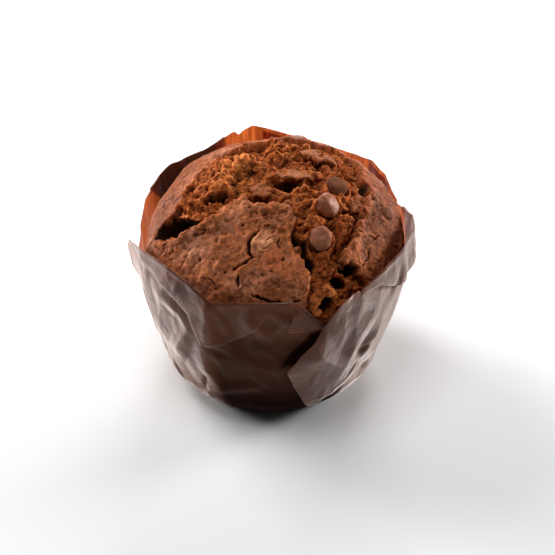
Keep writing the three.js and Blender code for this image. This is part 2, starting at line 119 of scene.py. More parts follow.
def wavy(u, v, reach, size, octaves, seed_u, seed_v):
    """Places moved by noise, up to reach each way, so that what is laid over them gets wandering edges."""
    return u + reach * rough(u, v, size, octaves, seed_u), v + reach * rough(u, v, size, octaves, seed_v)


def cells(x, y, size, seed):
    """Pebble pattern: the distance to the nearest of one random point per square, counted in squares, and
    that point's own number."""
    x = x / size
    y = y / size
    ix = np.floor(x).astype(np.int64)
    iy = np.floor(y).astype(np.int64)
    nearest = np.full(x.shape, np.inf)
    own = np.zeros(x.shape)
    for dx in (-1, 0, 1):
        for dy in (-1, 0, 1):
            jx = ix + dx
            jy = iy + dy
            px = jx + 0.1 + 0.8 * scatter(jx, jy, seed)
            py = jy + 0.1 + 0.8 * scatter(jx, jy, seed + 5)
            away = np.hypot(px - x, py - y)
            own = np.where(away < nearest, scatter(jx, jy, seed + 9), own)
            nearest = np.minimum(nearest, away)
    return nearest, own


def pebbles(x, y, size, seed):
    """Rounded lumps, 0 in the seams and up to 1 on top: the root of one minus the squared distance to the
    middle, each lump with a height of its own."""
    nearest, own = cells(x, y, size, seed)
    return np.sqrt(np.clip(1 - (nearest / 0.9) ** 2, 0, 1)) * (0.35 + 0.65 * own)


def ramp(low, high, x):
    """Smooth step from 0 at low to 1 at high."""
    t = np.clip((x - low) / (high - low), 0, 1)
    return t * t * (3 - 2 * t)


def band(start, full, ease, end, x):
    """Smooth band: 0 before start, 1 from full to ease, and 0 again past end."""
    return ramp(start, full, x) * (1 - ramp(ease, end, x))


def path_distance(x, y, path):
    """Distance from each place to a path of straight pieces, and how far along it the nearest point lies,
    from 0 to 1."""
    path = np.asarray(path, dtype=float)
    lengths = np.hypot(*(path[1:] - path[:-1]).T)
    ends = np.concatenate([[0], np.cumsum(lengths)])
    nearest = np.full(np.shape(x), np.inf)
    share = np.zeros(np.shape(x))
    for k, ((x0, y0), (x1, y1)) in enumerate(zip(path[:-1], path[1:])):
        dx = x1 - x0
        dy = y1 - y0
        t = np.clip(((x - x0) * dx + (y - y0) * dy) / (dx * dx + dy * dy), 0, 1)
        away = np.hypot(x - x0 - t * dx, y - y0 - t * dy)
        closer = away < nearest
        nearest = np.where(closer, away, nearest)
        share = np.where(closer, (ends[k] + t * lengths[k]) / ends[-1], share)
    return nearest, share


def outline_depth(x, y, outline):
    """Signed distance to a closed outline: positive inside it."""
    closed = np.asarray(list(outline) + [outline[0]], dtype=float)
    nearest, _ = path_distance(x, y, closed)
    inside = np.zeros(np.shape(x), dtype=bool)
    for (x0, y0), (x1, y1) in zip(closed[:-1], closed[1:]):
        if y0 != y1:
            inside ^= ((y0 > y) != (y1 > y)) & (x < x0 + (x1 - x0) * (y - y0) / (y1 - y0))
    return np.where(inside, nearest, -nearest)


def oval(spot, u, v):
    """Smooth oval bump, 1 in the middle and 0 outside, by the distance from its middle counted in half
    sizes: spot gives its place, half length, half width and turn in degrees."""
    cu, cv, length, width, turn = spot
    c = math.cos(math.radians(turn))
    s = math.sin(math.radians(turn))
    du = u - cu
    dv = v - cv
    return 1 - ramp(0.45, 1.2, np.hypot((du * c + dv * s) / length, (dv * c - du * s) / width))


# ======== Meshes ========
def new_piece(name, points, faces, material, nodes, numbers=None, uv=None):
    """Makes a smooth object from points in mm and blocks of faces, with named numbers on its points and an
    optional flat map, and joins it to the frame."""
    mesh = bpy.data.meshes.new(name)
    faces = [corners for block in faces for corners in np.asarray(block).tolist()]
    mesh.from_pydata((np.asarray(points) * MM).tolist(), [], faces)
    for key, values in (numbers or {}).items():
        layer = mesh.attributes.new(key, "FLOAT", "POINT")
        layer.data.foreach_set("value", np.asarray(values, dtype=np.float32))
    if uv is not None:
        layer = mesh.uv_layers.new(name="sheet")
        corner_points = np.zeros(len(mesh.loops), dtype=np.int32)
        mesh.loops.foreach_get("vertex_index", corner_points)
        layer.data.foreach_set("uv", np.asarray(uv, dtype=np.float32)[corner_points].ravel())
    mesh.polygons.foreach_set("use_smooth", [True] * len(mesh.polygons))
    mesh.materials.append(material)
    mesh.validate()
    mesh.update()
    piece = bpy.data.objects.new(name, mesh)
    bpy.context.scene.collection.objects.link(piece)
    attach(piece, "root")
    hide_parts(*nodes)
    return piece


def grid_faces(rows, columns, wrap=False):
    """Four-cornered faces of a grid with that many rows and columns of points, joined round if wrap."""
    i, j = np.meshgrid(np.arange(columns if wrap else columns - 1), np.arange(rows - 1))
    n = (i + 1) % columns
    faces = np.stack([j * columns + i, j * columns + n, (j + 1) * columns + n, (j + 1) * columns + i], -1)
    return faces.reshape(-1, 4)


# ======== The rim of the case ========
# Corners of the rim: azimuth in degrees, height, how far it stands out of the round wall. Between
# corners the paper's edge is straight.
RIM_CORNERS = np.array(
    [
        (0, 58.5, -1.2), (10, 55, -1.4), (21, 51.5, -0.6), (34, 57, -0.4), (43, 59, -0.8),
        (63, 58, -0.8), (84, 60.5, -1), (99, 63.8, -1.5), (103.8, 62.4, -1.5), (105.4, 61, -1.2),
        (107, 62.4, -1), (122, 58.5, -0.8), (139, 58.5, -0.4), (147, 57.2, 0), (159, 53.5, 0.4),
        (167, 48, 0.5), (169, 45.5, 0.5), (183, 45, 0.3), (191, 56, 1.8), (205, 59.5, 0.3),
        (222, 60, -1.8), (234, 57.5, -1.8), (244, 54, -1), (260, 57, -0.8), (279, 57.5, -0.8),
        (291, 45.5, -0.2), (300, 52, 0), (307, 56, 0), (320, 59, -0.6), (333, 60, -0.8),
        (347, 60.5, -0.6), (360, 58.5, -1.2),
    ]
)


def rim_at(azimuth):
    """Height of the rim and its stand-out at azimuths in degrees: straight lines in space between corners."""
    azimuth = np.mod(azimuth, 360)
    radius = wall_radius(RIM_CORNERS[:, 1]) + RIM_CORNERS[:, 2]
    turn = np.radians(RIM_CORNERS[:, 0])
    cx = radius * np.cos(turn)
    cy = radius * np.sin(turn)
    k = np.clip(np.searchsorted(RIM_CORNERS[:, 0], azimuth, side="right"), 1, len(RIM_CORNERS) - 1)
    c = np.cos(np.radians(azimuth))
    s = np.sin(np.radians(azimuth))
    dx = cx[k] - cx[k - 1]
    dy = cy[k] - cy[k - 1]
    share = np.clip((cy[k - 1] * c - cx[k - 1] * s) / (dx * s - dy * c), 0, 1)
    height = RIM_CORNERS[k - 1, 1] + share * (RIM_CORNERS[k, 1] - RIM_CORNERS[k - 1, 1])
    reach = np.hypot(cx[k - 1] + share * dx, cy[k - 1] + share * dy)
    return height, reach - wall_radius(height)


# ======== The cake's form ========
# Places on the top are written on a flat map of the crust, as if it were peeled off: (u, v) lies
# hypot(u, v) mm from the crown, measured along the crust, in its own direction.
MAP_REACH = 6.0  # how far the map runs down the side, under the widest part
# Outline of the torn zone, before noise makes it ragged.
TORN_OUTLINE = [
    (-39.8, -14.2), (-36.6, -10.8), (-32.6, -8.4), (-30.2, -3.8), (-28.5, 0.5), (-26.2, 5.5),
    (-24, 10.2), (-19.5, 14.5), (-15.2, 18.8), (-9.8, 21), (-4.2, 22.8), (3, 26.5), (10, 27),
    (18.2, 23.5), (25, 19.5), (28.5, 13), (28, 6), (30.5, 1), (28, -3.5), (27.8, -12.8),
    (25.8, -19), (22.6, -26.5), (21.8, -31), (25.5, -32.4), (29, -34), (33, -36.5), (31, -41),
    (26, -43.5), (25.5, -47.8), (21, -51.6), (15.5, -51.6), (11.4, -47.4), (10.6, -43.8),
    (11.2, -40.8), (11, -36.2), (9.6, -32.5), (7, -28.5), (5.6, -24.5), (7, -18), (5, -13),
    (-1.5, -12.2), (-7, -12.2), (-10, -8.4), (-13.2, -11), (-16.5, -13.4), (-19.5, -15.2),
    (-25.2, -17.4), (-31.5, -19), (-36, -17.4),
]
LIP_RISE = 0.9  # how far the crust lifts towards the tear
LIP_REACH = 6.0  # how far from the tear it starts to lift
TEAR_DROP = 2.3  # how far the crumb lies below the crust at the tear
TEAR_SWELL = 1.9  # how far it rises again inside
TEAR_REACH = 9.0  # how far inside it has risen in full
SHRINK = 1.9  # how far the crust at the back left sank away from the paper
# Where the crumb runs level into the crust: place, half length, half width, turn in degrees.
EVEN_EDGE = (-3, -13, 17, 8, 0)
# The deep split at the left end of the tear: outline and depth.
FISSURE = [(-40, -14.8), (-38.7, -11.9), (-35.8, -10.1), (-32.8, -9.4), (-30.8, -10.8)]
FISSURE += [(-27.8, -12.8), (-24.2, -15.4), (-23.4, -17), (-27, -18), (-32.2, -18), (-37, -16.8)]
FISSURE_DEPTH = 9.0
# Holes, painted dark as shade: place, half length, half width, turn in degrees, depth.
HOLES = [
    (-18.4, -8.0, 3.9, 1.7, 12, 6),
    (-4.8, -10.4, 3.4, 1.7, -8, 6),
    (7.8, -28.3, 4.6, 2.1, -63, 7),
    (11.4, -34, 2.9, 2.0, -60, 6),
    (26.5, 2.6, 4.4, 1.8, -8, 5),
    (24.4, -12.8, 3.6, 2.0, -8, 5),
    (24.8, -33, 3.8, 2.3, 12, 6),
    (22.6, -38.4, 4.2, 2.2, 0, 4),
    (6.8, -3.6, 8.4, 2.2, -6, 6),
    (-9, 16.6, 2.6, 1.4, 20, 2.6),
    (-15, 13, 2.4, 1.3, 35, 2.6),
    (-27, 0, 3.4, 1.1, 65, 2.4),
    (-31.4, -8.6, 2.6, 1.3, 55, 3),
    (0, 14.5, 3.6, 1.4, 15, 2.4),
    (17.5, 11.6, 3.6, 1.2, -50, 2.4),
]
# Raised lumps of crumb: place, half length, half width, turn in degrees, rise.
LUMPS = [
    (-11.5, 6.4, 6.0, 5.0, 50, 1.8),
    (-16.6, -1.8, 5.4, 4.2, 40, 1.3),
    (-12.8, -5.6, 3.8, 2.6, -10, 1.0),
    (12.5, -21.2, 3.4, 3.4, 0, 2.2),
    (22.2, -19.5, 4.0, 4.4, 10, 2.2),
    (-2, 19, 6, 4, 20, 1.2),
    (9, -6.5, 6, 3.4, 10, 1.2),
]
# Pieces of crust that broke off and rode up with the crumb: outlines, then for each its outline, rise, and
# tilt to the right and to the back.
MIDDLE_SLAB = [(-1.4, 1.2), (1.6, 6.4), (6, 7.8), (8.6, 6.6), (12.6, 1.4), (11.4, -1.4)]
MIDDLE_SLAB += [(8.6, -0.6), (6.4, -2.6), (2.2, -2)]
BACK_SLAB = [(8, 15), (12, 20), (17, 19.6), (21.6, 13), (18.8, 9.6), (16, 10.6), (13, 8.4), (9.4, 11)]
RIGHT_SLAB = [(23.4, -6), (25.6, -1.2), (31, -0.2), (31.8, -5.4), (28.8, -10.6), (24.8, -11)]
FRONT_SLAB = [(-7.8, -5.4), (-5.2, -3.2), (-1.6, -4.2), (-0.2, -8), (-2.4, -10.4), (-6.4, -9.6)]
SLABS = [
    (MIDDLE_SLAB, 1.9, -0.05, -0.34),
    (BACK_SLAB, 1.2, -0.1, -0.16),
    (RIGHT_SLAB, 1.5, 0.0, -0.12),
    (FRONT_SLAB, 1.2, 0.0, -0.12),
]
SLAB_THICKNESS = 3.6
# The crater at the front right: its place, the radius, rise and width of its ring of crumb, the radius and
# depth of its hole, and the radii between which lumps and pores come back round it.
CRATER = {"u": 19.5, "v": -46.4, "ring": 4.2, "rise": 1.9, "width": 1.5, "hole": 3.1, "depth": 6.5}
CRATER_CALM = (4.6, 7.5)
# Cracks in the crust: path, half width, depth.
CRACKS = [
    ([(-4.8, -23), (-5.8, -24), (-8, -26.8), (-8.2, -30), (-6.8, -32.2)], 0.5, 2.4),
    ([(-6.8, -32.2), (-8.8, -33.2), (-11, -34.5), (-13, -35)], 0.34, 1.5),
    ([(-11.8, -37), (-12.2, -38.6), (-11.8, -40.8)], 0.34, 1.6),
    ([(1.4, -26), (0.8, -28.2), (1.8, -30)], 0.24, 0.6),
    ([(-0.4, -25.4), (-1.8, -26.4), (-3, -27.2)], 0.2, 0.9),
    ([(-0.8, -27.8), (-2.6, -29.2), (-4.2, -29.6)], 0.18, 0.8),
    ([(-24, -35.4), (-21.4, -36.6), (-19.4, -39.6)], 0.22, 0.5),
    ([(-7, -44.3), (-3.5, -45.4), (-0.8, -46.4), (2.8, -46.9), (6.4, -46.6), (8.6, -45.4)], 0.5, 2.2),
    ([(-14.6, -30), (-12.6, -29.4), (-10.8, -30.2)], 0.18, 0.5),
    ([(28, -9), (28.4, -11), (29.4, -13)], 0.3, 1.1),
    ([(30.4, -19), (32.4, -19.4), (34.4, -16.8)], 0.3, 1.2),
    ([(24.8, -17.8), (26, -19.2), (27.6, -19.2)], 0.3, 1.0),
    ([(31.6, -5), (33.2, -7.8), (35.4, -8.6)], 0.3, 1.0),
    ([(31.4, -23.4), (31, -27), (29, -30.4)], 0.26, 0.7),
]
CRACK_LIP = 0.3  # how far the crust stands up beside a crack
# Pin holes in the crust: place and half width.
PIN_HOLES = [(-9.8, -20.5, 0.45), (-24.2, -29.5, 0.4), (-13, -35, 0.45)]
PIN_HOLES += [(-16, -35.6, 0.35), (2.6, -33, 0.4), (-20, -40, 0.35)]
PIN_DEPTH = 1.2
# The pale patch of crust beside the longest crack and the warmer crust under it: place, half length,
# half width, turn in degrees.
PALE_PATCH = (-4.2, -27, 4.2, 3.4, 50)
WARM_PATCH = (2.5, -34.5, 8, 6.5, -35)
# The shaded crust beside the left end of the split.
SHADED_PATCH = (-39, -9, 4, 8, 0)
# Where the crust is broken up and lumpy away from the tear: place, half length, half width, turn, strength.
CRUMBLED = [
    (0, -17.5, 10, 5, 0, 1.0),
    (3, -22, 5, 4, 0, 0.9),
    (-22, -19, 6, 3.4, 20, 0.9),
    (-33, -20.5, 5, 3, 10, 0.5),
    (33, -8, 3, 6, 10, 0.6),
]
# Places where the crumb is lighter and more golden: place, half length, half width, turn, strength.
GOLDEN = [
    (-11.5, 6.4, 6, 5, 50, 1.0),
    (-15.6, -2.2, 6, 4, 30, 1.0),
    (-11, -4, 6, 4, -10, 0.8),
    (-7, 7, 5, 4, 0, 0.5),
    (19.2, -46.6, 8, 8, 0, 0.95),
    (24.5, -37, 3, 2, 0, 0.6),
    (6, -8, 7, 3, 0, 0.35),
]


def wall_radius(z):
    """Round wall of the case: a curved heel, then a flaring side with a slight belly."""
    z = np.asarray(z, dtype=float)
    heel = BASE_RADIUS + HEEL_FLARE * (1 - np.clip(1 - z / HEEL_HEIGHT, 0, 1) ** HEEL_POWER)
    rise = z - HEEL_HEIGHT
    belly = WALL_BULGE * np.clip(np.sin(math.pi * rise / (RIM_LEVEL - HEEL_HEIGHT)), 0, 1)
    side = BASE_RADIUS + HEEL_FLARE + WALL_SLOPE * rise + belly
    return np.where(z < HEEL_HEIGHT, heel, side)


def side_radius(z):
    """Radius of the cake inside the case, under its widest part."""
    room = SIDE_ROOM + SHOULDER_ROOM * ramp(16, CAKE_EDGE, z)
    return np.minimum(wall_radius(z) - room, CAKE_RADIUS)


def cake_profile():
    """Side view of the cake from the crown over its widest part and a little way down, as arc length,
    radius and height: on the dome the height is a cosine of the slope and the radius a power of its sine."""
    slope = np.linspace(0, math.pi / 2, 1200)
    side = CAKE_EDGE - np.linspace(0, MAP_REACH, 40)[1:]
    radius = np.concatenate([CAKE_RADIUS * np.sin(slope) ** (2 / DOME_POWER), side_radius(side)])
    height = np.concatenate([CAKE_EDGE + DOME_HEIGHT * np.cos(slope), side])
    arc = np.concatenate([[0], np.cumsum(np.hypot(np.diff(radius), np.diff(height)))])
    return arc, radius, height, arc[len(slope) - 1]


PROFILE_ARC, PROFILE_RADIUS, PROFILE_HEIGHT, DOME_ARC = cake_profile()
MAP_ARC = PROFILE_ARC[-1]
ARC_STEP = 0.2  # half the stretch of the side view that a normal is taken from


def cake_at(u, v):
    """Points and outward normals of the smooth cake at places on the crust map: its side view turned
    round, with the dome tilted up at the back and the whole leaning."""
    arc = np.hypot(u, v)
    radius = np.interp(arc, PROFILE_ARC, PROFILE_RADIUS)
    height = np.interp(arc, PROFILE_ARC, PROFILE_HEIGHT)
    before = arc - ARC_STEP
    after = arc + ARC_STEP
    run = np.interp(after, PROFILE_ARC, PROFILE_RADIUS) - np.interp(before, PROFILE_ARC, PROFILE_RADIUS)
    fall = np.interp(before, PROFILE_ARC, PROFILE_HEIGHT) - np.interp(after, PROFILE_ARC, PROFILE_HEIGHT)
    c = u / np.maximum(arc, 1e-6)
    s = v / np.maximum(arc, 1e-6)
    tilt = DOME_TILT * radius * s * (1 - (np.minimum(arc, DOME_ARC) / DOME_ARC) ** 2)
    point = np.stack([radius * c + LEAN * height, radius * s, height + tilt], -1)
    normal = np.stack([fall * c, fall * s, run], -1)
    normal /= np.linalg.norm(normal, axis=-1, keepdims=True) + 1e-12
    return point, normal


def tear_depth(u, v):
    """Distance inside the ragged outline of the torn zone, negative on the crust round it."""
    near_u, near_v = wavy(u, v, 1.3, 6, 3, 31, 47)
    near_u = near_u + 0.45 * rough(u, v, 1.5, 2, 33)
    near_v = near_v + 0.45 * rough(u, v, 1.5, 2, 49)
    return outline_depth(near_u, near_v, TORN_OUTLINE)


def left_end(u, v):
    """How far into the left end of the tear, from 0 to 1, where crust and crumb meet nearly level."""
    return ramp(-8, -18, u) * ramp(-14, -6, v)


def billow(x, y, size, octaves, seed, gain=0.6):
    """Cauliflower lumps from 0 to 1: soft noise folded at zero, so that lumps meet in sharp creases, on
    several scales."""
    total = 0.0
    strength = 1.0
    whole = 0.0
    for octave in range(octaves):
        total = total + strength * np.abs(waves(x, y, size, seed + 13 * octave))
        whole += strength
        strength *= gain
        size *= 0.52
        x, y = 0.8 * x - 0.6 * y + 3.7, 0.6 * x + 0.8 * y - 1.9
    return total / whole


def crater_rise(u, v):
    """Raised ring of crumb, a bell curve of the distance from its middle, round a deep hole."""
    near_u, near_v = wavy(u, v, 0.35, 2.4, 3, 71, 72)
    reach = np.hypot(near_u - CRATER["u"], 0.8 * (near_v - CRATER["v"]))
    ring = CRATER["rise"] * np.exp(-(((reach - CRATER["ring"]) / CRATER["width"]) ** 2))
    return ring - CRATER["depth"] * (1 - ramp(0.75 * CRATER["hole"], CRATER["hole"] + 0.5, reach))


def sunk_holes(u, v):
    """Depth of the holes and the deep split, how dark they are painted as shade, and how black the split
    alone is painted.
    """
    near_u, near_v = wavy(u, v, 0.8, 2.5, 3, 121, 123)
    depth = np.zeros_like(u)
    dark = np.zeros_like(u)
    for *spot, hole_depth in HOLES:
        reach = oval(spot, near_u, near_v)
        depth = depth + hole_depth * ramp(0, 0.75, reach)
        dark = np.maximum(dark, ramp(0, 0.4, reach) * min(1, hole_depth / 5))
    inside = outline_depth(u + 0.4 * (near_u - u), v + 0.4 * (near_v - v), FISSURE)
    depth = depth + FISSURE_DEPTH * ramp(-0.1, 1.0, inside)
    black = ramp(-0.6, -0.15, inside)
    return depth, np.maximum(dark, black), black


def crumbled_share(u, v, depth):
    """Where the crust is broken up, from 0 to 1: a band along the tear, wider in front of it, and ovals
    with wandering edges."""
    reach = 1.6 + 2.8 * ramp(-16, -8, u) * ramp(6, -4, v)
    crumbled = ramp(-1, -0.1, (depth + 1.2 * rough(u, v, 4, 2, 51)) / reach) * 0.8
    near_u, near_v = wavy(u, v, 1.0, 4, 2, 55, 57)
    for *spot, strength in CRUMBLED:
        crumbled = np.maximum(crumbled, strength * oval(spot, near_u, near_v))
    return crumbled


def cracks_and_pin_holes(u, v):
    """Relief of the cracks and pin holes and the shade painted in them: grooves with a bell-shaped section
    whose paths wander and thin out at both ends, raised a little at their sides, and bell-shaped pits."""
    near_u, near_v = wavy(u, v, 0.5, 1.9, 2, 131, 133)
    h = np.zeros_like(u)
    dark = np.zeros_like(u)
    for path, half_width, crack_depth in CRACKS:
        away, along = path_distance(near_u, near_v, path)
        taper = 0.4 + 0.6 * np.sin(math.pi * np.clip(along, 0.02, 0.98)) ** 0.5
        groove = np.exp(-((away / (half_width * taper)) ** 2))
        side = np.exp(-((away / (3 * half_width)) ** 2))
        h = h + CRACK_LIP * side - (crack_depth + CRACK_LIP) * groove * taper
        dark = np.maximum(dark, 0.95 * groove)
    for cu, cv, half_width in PIN_HOLES:
        pin = np.exp(-((np.hypot(u - cu, v - cv) / half_width) ** 2))
        h = h - PIN_DEPTH * pin
        dark = np.maximum(dark, 0.9 * pin)
    return h, dark


def crust_height(u, v, depth):
    """Baked crust over the smooth cake in mm, with masks: low swells, specks, pits, hair cracks and fine
    grain, and small lumps where it is broken up. Far out at the left and behind it is a little smoother,
    and in the warm patch too. It lifts in a lip along the tear and rounds over its edge; at the back left
    it sank away from the paper."""
    crumbled = crumbled_share(u, v, depth)
    from_crown = np.hypot(u, v)
    wu, wv = wavy(u, v, 0.7, 1.8, 2, 105, 106)
    smooth = 1 - 0.3 * ramp(25, 36, np.hypot(u + 8, v - 8)) * (v > -14) * ramp(24, 14, u)
    even = 1 - 0.6 * oval(WARM_PATCH, wu, wv)
    patchy = ramp(-0.1, 0.4, rough(u, v, 9, 2, 109))
    swell = 0.6 * rough(u, v, 12, 2, 101)
    swell = swell + smooth * (0.5 * rough(u, v, 5, 3, 103, 0.6) + 0.22 * rough(u, v, 1.6, 2, 104))
    specks = ramp(0.3, 0.6, rough(wu, wv, 1.5, 3, 111, 0.7)) * smooth
    specks = specks * (0.1 + 0.3 * patchy + 0.3 * crumbled)
    nearest, own = cells(wu, wv, 3.2, 113)
    pits = (own > 0.86) * (1 - ramp(0.04, 0.15, nearest)) * (0.4 + 0.6 * patchy)
    hair = 1 - ramp(0.0, 0.05, np.abs(rough(wu, wv, 4, 4, 115, 0.7)))
    hair = hair * (0.16 + 0.5 * crumbled) * ramp(0.15, 0.5, rough(u, v, 5, 2, 117))
    lumps = 1.6 * (billow(wu, wv, 4.8, 2, 119, 0.5) - 0.32) + 1.1 * rough(wu, wv, 3, 4, 118, 0.65)
    grain = (0.15 + 0.2 * crumbled) * rough(u, v, 0.9, 3, 121, 0.7)
    cracks, crack_dark = cracks_and_pin_holes(u, v)
    lip = LIP_RISE * (1 - 0.9 * left_end(u, v))
    turn = np.mod(np.degrees(np.arctan2(v, u)), 360)
    h = swell - even * (specks + 0.8 * pits) - hair + crumbled * lumps + grain + cracks
    h = h + lip * ramp(-LIP_REACH, -0.8, depth) - 0.5 * ramp(-1.1, 0.1, depth) ** 2
    h = h - SHRINK * ramp(20, 38, from_crown) * band(138, 155, 180, 198, turn)
    # Painted shade in the pits, cracks and pin holes, and over the shaded patch beside the split.
    dark = np.maximum(np.maximum(0.75 * pits * even, crack_dark), 0.34 * oval(SHADED_PATCH, u, v))
    pale = oval(PALE_PATCH, u + 0.8 * rough(u, v, 3, 2, 59), v) * ramp(-0.8, 0, rough(wu, wv, 2.4, 3, 61))
    warm = oval(WARM_PATCH, wu, wv) * ramp(-0.5, 0.2, rough(wu, wv, 3, 3, 63))
    # Darker towards the outer edge, everywhere but at the front.
    outer_darkening = ramp(18, 36, from_crown) * ramp(-30, -14, v)
    return h, {"crumbled": crumbled, "dark": dark, "pale": pale, "warm": warm, "outer_darkening": outer_darkening}


def crumb_height(u, v, depth):
    """Torn crumb over the smooth cake in mm, with masks: it starts low at the tear and swells to the
    middle in lumps of every size, rough with grains and pores, calmer round the crater."""
    wu, wv = wavy(u, v, 0.6, 2.4, 3, 81, 83)
    golden = np.zeros_like(u)
    for *spot, strength in GOLDEN:
        golden = np.maximum(golden, strength * oval(spot, wu, wv))
    lumps = 3.6 * billow(wu, wv, 8, 2, 91, 0.4) - 1.3 + 1.7 * rough(wu, wv, 4.2, 3, 92, 0.6)
    grains = 0.35 * (pebbles(wu, wv, 1.5, 93) - 0.45)
    fine = 0.42 * rough(u, v, 1.2, 3, 97, 0.8)
    nearest, own = cells(wu, wv, 3.1, 99)
    pores = (own > 0.6) * (1 - ramp(0.08, 0.28, nearest)) * 1.3 * (1 - 0.6 * golden)
    level = np.maximum(0.8 * oval(EVEN_EDGE, wu, wv), 0.7 * left_end(u, v))
    lively = 1 - 0.85 * (1 - ramp(*CRATER_CALM, np.hypot(u - CRATER["u"], v - CRATER["v"])))
    crater = crater_rise(u, v)
    h = TEAR_SWELL * ramp(1, TEAR_REACH, depth) - TEAR_DROP * (1 - level)
    h = h + lively * (lumps - pores) + grains + fine + crater
    near_u, near_v = wavy(u, v, 0.7, 3, 2, 85, 87)
    for *spot, rise in LUMPS:
        h = h + rise * oval(spot, near_u, near_v)
    # Painted shade in the crater's hole and the pores, and where the crumb lies low at the tear's edge.
    dark = np.maximum(ramp(-0.2, 1.2, -crater), 0.6 * lively * pores)
    dark = np.maximum(dark, 0.55 * (1 - ramp(0, 1.4, depth)))
    return h, {"golden": golden, "dark": dark}


# ======== Chocolate drops ========
# Each drop lies where its CAD node does: half length, half width, half thickness, and the direction
# that its flat face looks in. The left one stands on its edge, so that only a ridge of it shows.
DROPS = {
    "drop_middle": ((4.0, 3.8, 2.4), (0.5, -0.55, 0.67)),
    "drop_upper": ((4.0, 3.5, 2.0), (0.5, -0.3, 0.8)),
    "drop_lower": ((3.6, 3.6, 2.2), (0.12, -0.72, 0.68)),
    "drop_right": ((2.6, 2.1, 1.6), (0.75, -0.35, 0.55)),
    "drop_left": ((4.2, 2.8, 1.2), (-0.8, -0.55, 0.25)),
    "drop_back": ((3.9, 3.8, 2.4), (0.1, 0.7, 0.7)),
    "drop_far": ((3.3, 3.0, 2.0), (-0.4, 0.6, 0.7)),
}
# Drops that lie in torn crumb, which climbs higher round them than crust does.
IN_CRUMB = ("drop_middle", "drop_upper", "drop_lower")
# How far a drop is darkened and dulled, from 0 to 1: by crumb dust over it and by painted shade.
CRUMB_AND_SHADE = {"drop_upper": 1.0, "drop_right": 0.5, "drop_left": 0.4, "drop_far": 0.6}
# How far a drop has settled into the crust, in mm.
SETTLED = {"drop_far": 1.3}


def drop_frame(name):
    """A drop's middle, read from its CAD node, and its three axes as rows: length level, then across,
    then the face."""
    low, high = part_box(name)
    face = np.array(DROPS[name][1])
    face = face / np.linalg.norm(face)
    length = np.cross([0, 0, 1], face)
    length = length / np.linalg.norm(length)
    return (np.array(low) + np.array(high)) / 2 / MM, np.array([length, np.cross(face, length), face])


DROP_FRAMES = {name: drop_frame(name) for name in DROPS}


def reach_from_drop(name, points):
    """Places in mm, seen from a drop as shares of its half sizes."""
    middle, axes = DROP_FRAMES[name]
    return (points - middle) @ axes.T / np.array(DROPS[name][0])


def settle_round_drops(u, v, h):
    """The cake keeps under each drop's flat face, and hugs its side in a low uneven collar; only the
    ridge of the left one stands out of the crust."""
    point, normal = cake_at(u, v)
    patches = np.clip(0.6 + 1.1 * rough(u, v, 2.8, 3, 151), 0, 1)
    uneven = 0.6 * rough(u, v, 1.6, 3, 153)
    for name, (half, _) in DROPS.items():
        if name == "drop_left":
            continue
        middle, axes = DROP_FRAMES[name]
        along = normal @ axes[2]
        level = (half[2] - (point - middle) @ axes[2]) / np.maximum(along, 0.3)
        over = reach_from_drop(name, point + normal * level[..., None])
        facing = (along > 0.5) & (np.abs(level - h) < 12)
        away = np.where(facing, np.hypot(over[..., 0], over[..., 1]), 9.0)
        under = 1 - ramp(0.8, 0.98, away)
        h = h * (1 - under) + np.minimum(h, level - 0.5) * under
        strength = 0.85 if name in IN_CRUMB else 0.25
        collar = strength * patches * np.exp(-(((away - 1.2) / 0.3) ** 2)) * ramp(0.86, 1.0, away)
        h = h + np.maximum(level - 0.45 * half[2] - h + uneven, 0) * collar
    return h


def fade(u, v):
    """The relief dies out where the map ends, inside the case."""
    return 1 - ramp(MAP_ARC - 3, MAP_ARC, np.hypot(u, v))


def rise_points(u, v, h):
    """Places on the map lifted by h; below the rim they keep inside the paper."""
    point, normal = cake_at(u, v)
    point = point + normal * h[..., None]
    z = point[..., 2]
    x = point[..., 0] - LEAN * z
    y = point[..., 1]
    top, out = rim_at(np.degrees(np.arctan2(y, x)))
    room = wall_radius(z) + out * ramp(RIM_START, top, z) - PAPER_ROOM
    squeeze = np.where(z < top + 1, np.minimum(1, room / np.maximum(np.hypot(x, y), 1)), 1)
    return np.stack([x * squeeze + LEAN * z, y * squeeze, z], -1)


def disc_grid(cells_across):
    """A square grid pulled round to a unit disc: squares become rings of equal reach."""
    line = np.linspace(-1, 1, cells_across + 1)
    a, b = np.meshgrid(line, line)
    wide = np.abs(a) > np.abs(b)
    with np.errstate(divide="ignore", invalid="ignore"):
        angle_wide = math.pi / 4 * (b / a) + np.where(a < 0, math.pi, 0)
        angle_tall = math.pi / 2 - math.pi / 4 * (a / b) + np.where(b < 0, math.pi, 0)
    angle = np.where(wide, angle_wide, angle_tall)
    angle = np.where((a == 0) & (b == 0), 0, angle)
    reach = np.maximum(np.abs(a), np.abs(b))
    return reach * np.cos(angle), reach * np.sin(angle)


def soften(field, times):
    """Field averaged with its four neighbours that many times over: a blur."""
    for _ in range(times):
        edged = np.pad(field, 1, mode="edge")
        field = (edged[1:-1, :-2] + edged[1:-1, 2:] + edged[:-2, 1:-1] + edged[2:, 1:-1]) / 4
    return field


LEVEL_PIT = 0.5  # what cavity gives for level ground


def cavity(h, cell):
    """How far a place stands out of its surroundings, near and wide: half for level, less in gaps, more
    on tops; by this, the finish paints shade into the gaps and light onto the tops. The grid's points are
    cell mm apart."""
    near = h - soften(h, int(0.5 / cell**2) + 1)
    wide = h - soften(h, int(5 / cell**2) + 1)
    return np.clip(LEVEL_PIT + 0.6 * near + 0.4 * wide, 0, 1)


CAKE_CELLS = 296  # squares across the crust's grid
SIDE_ROWS = 8


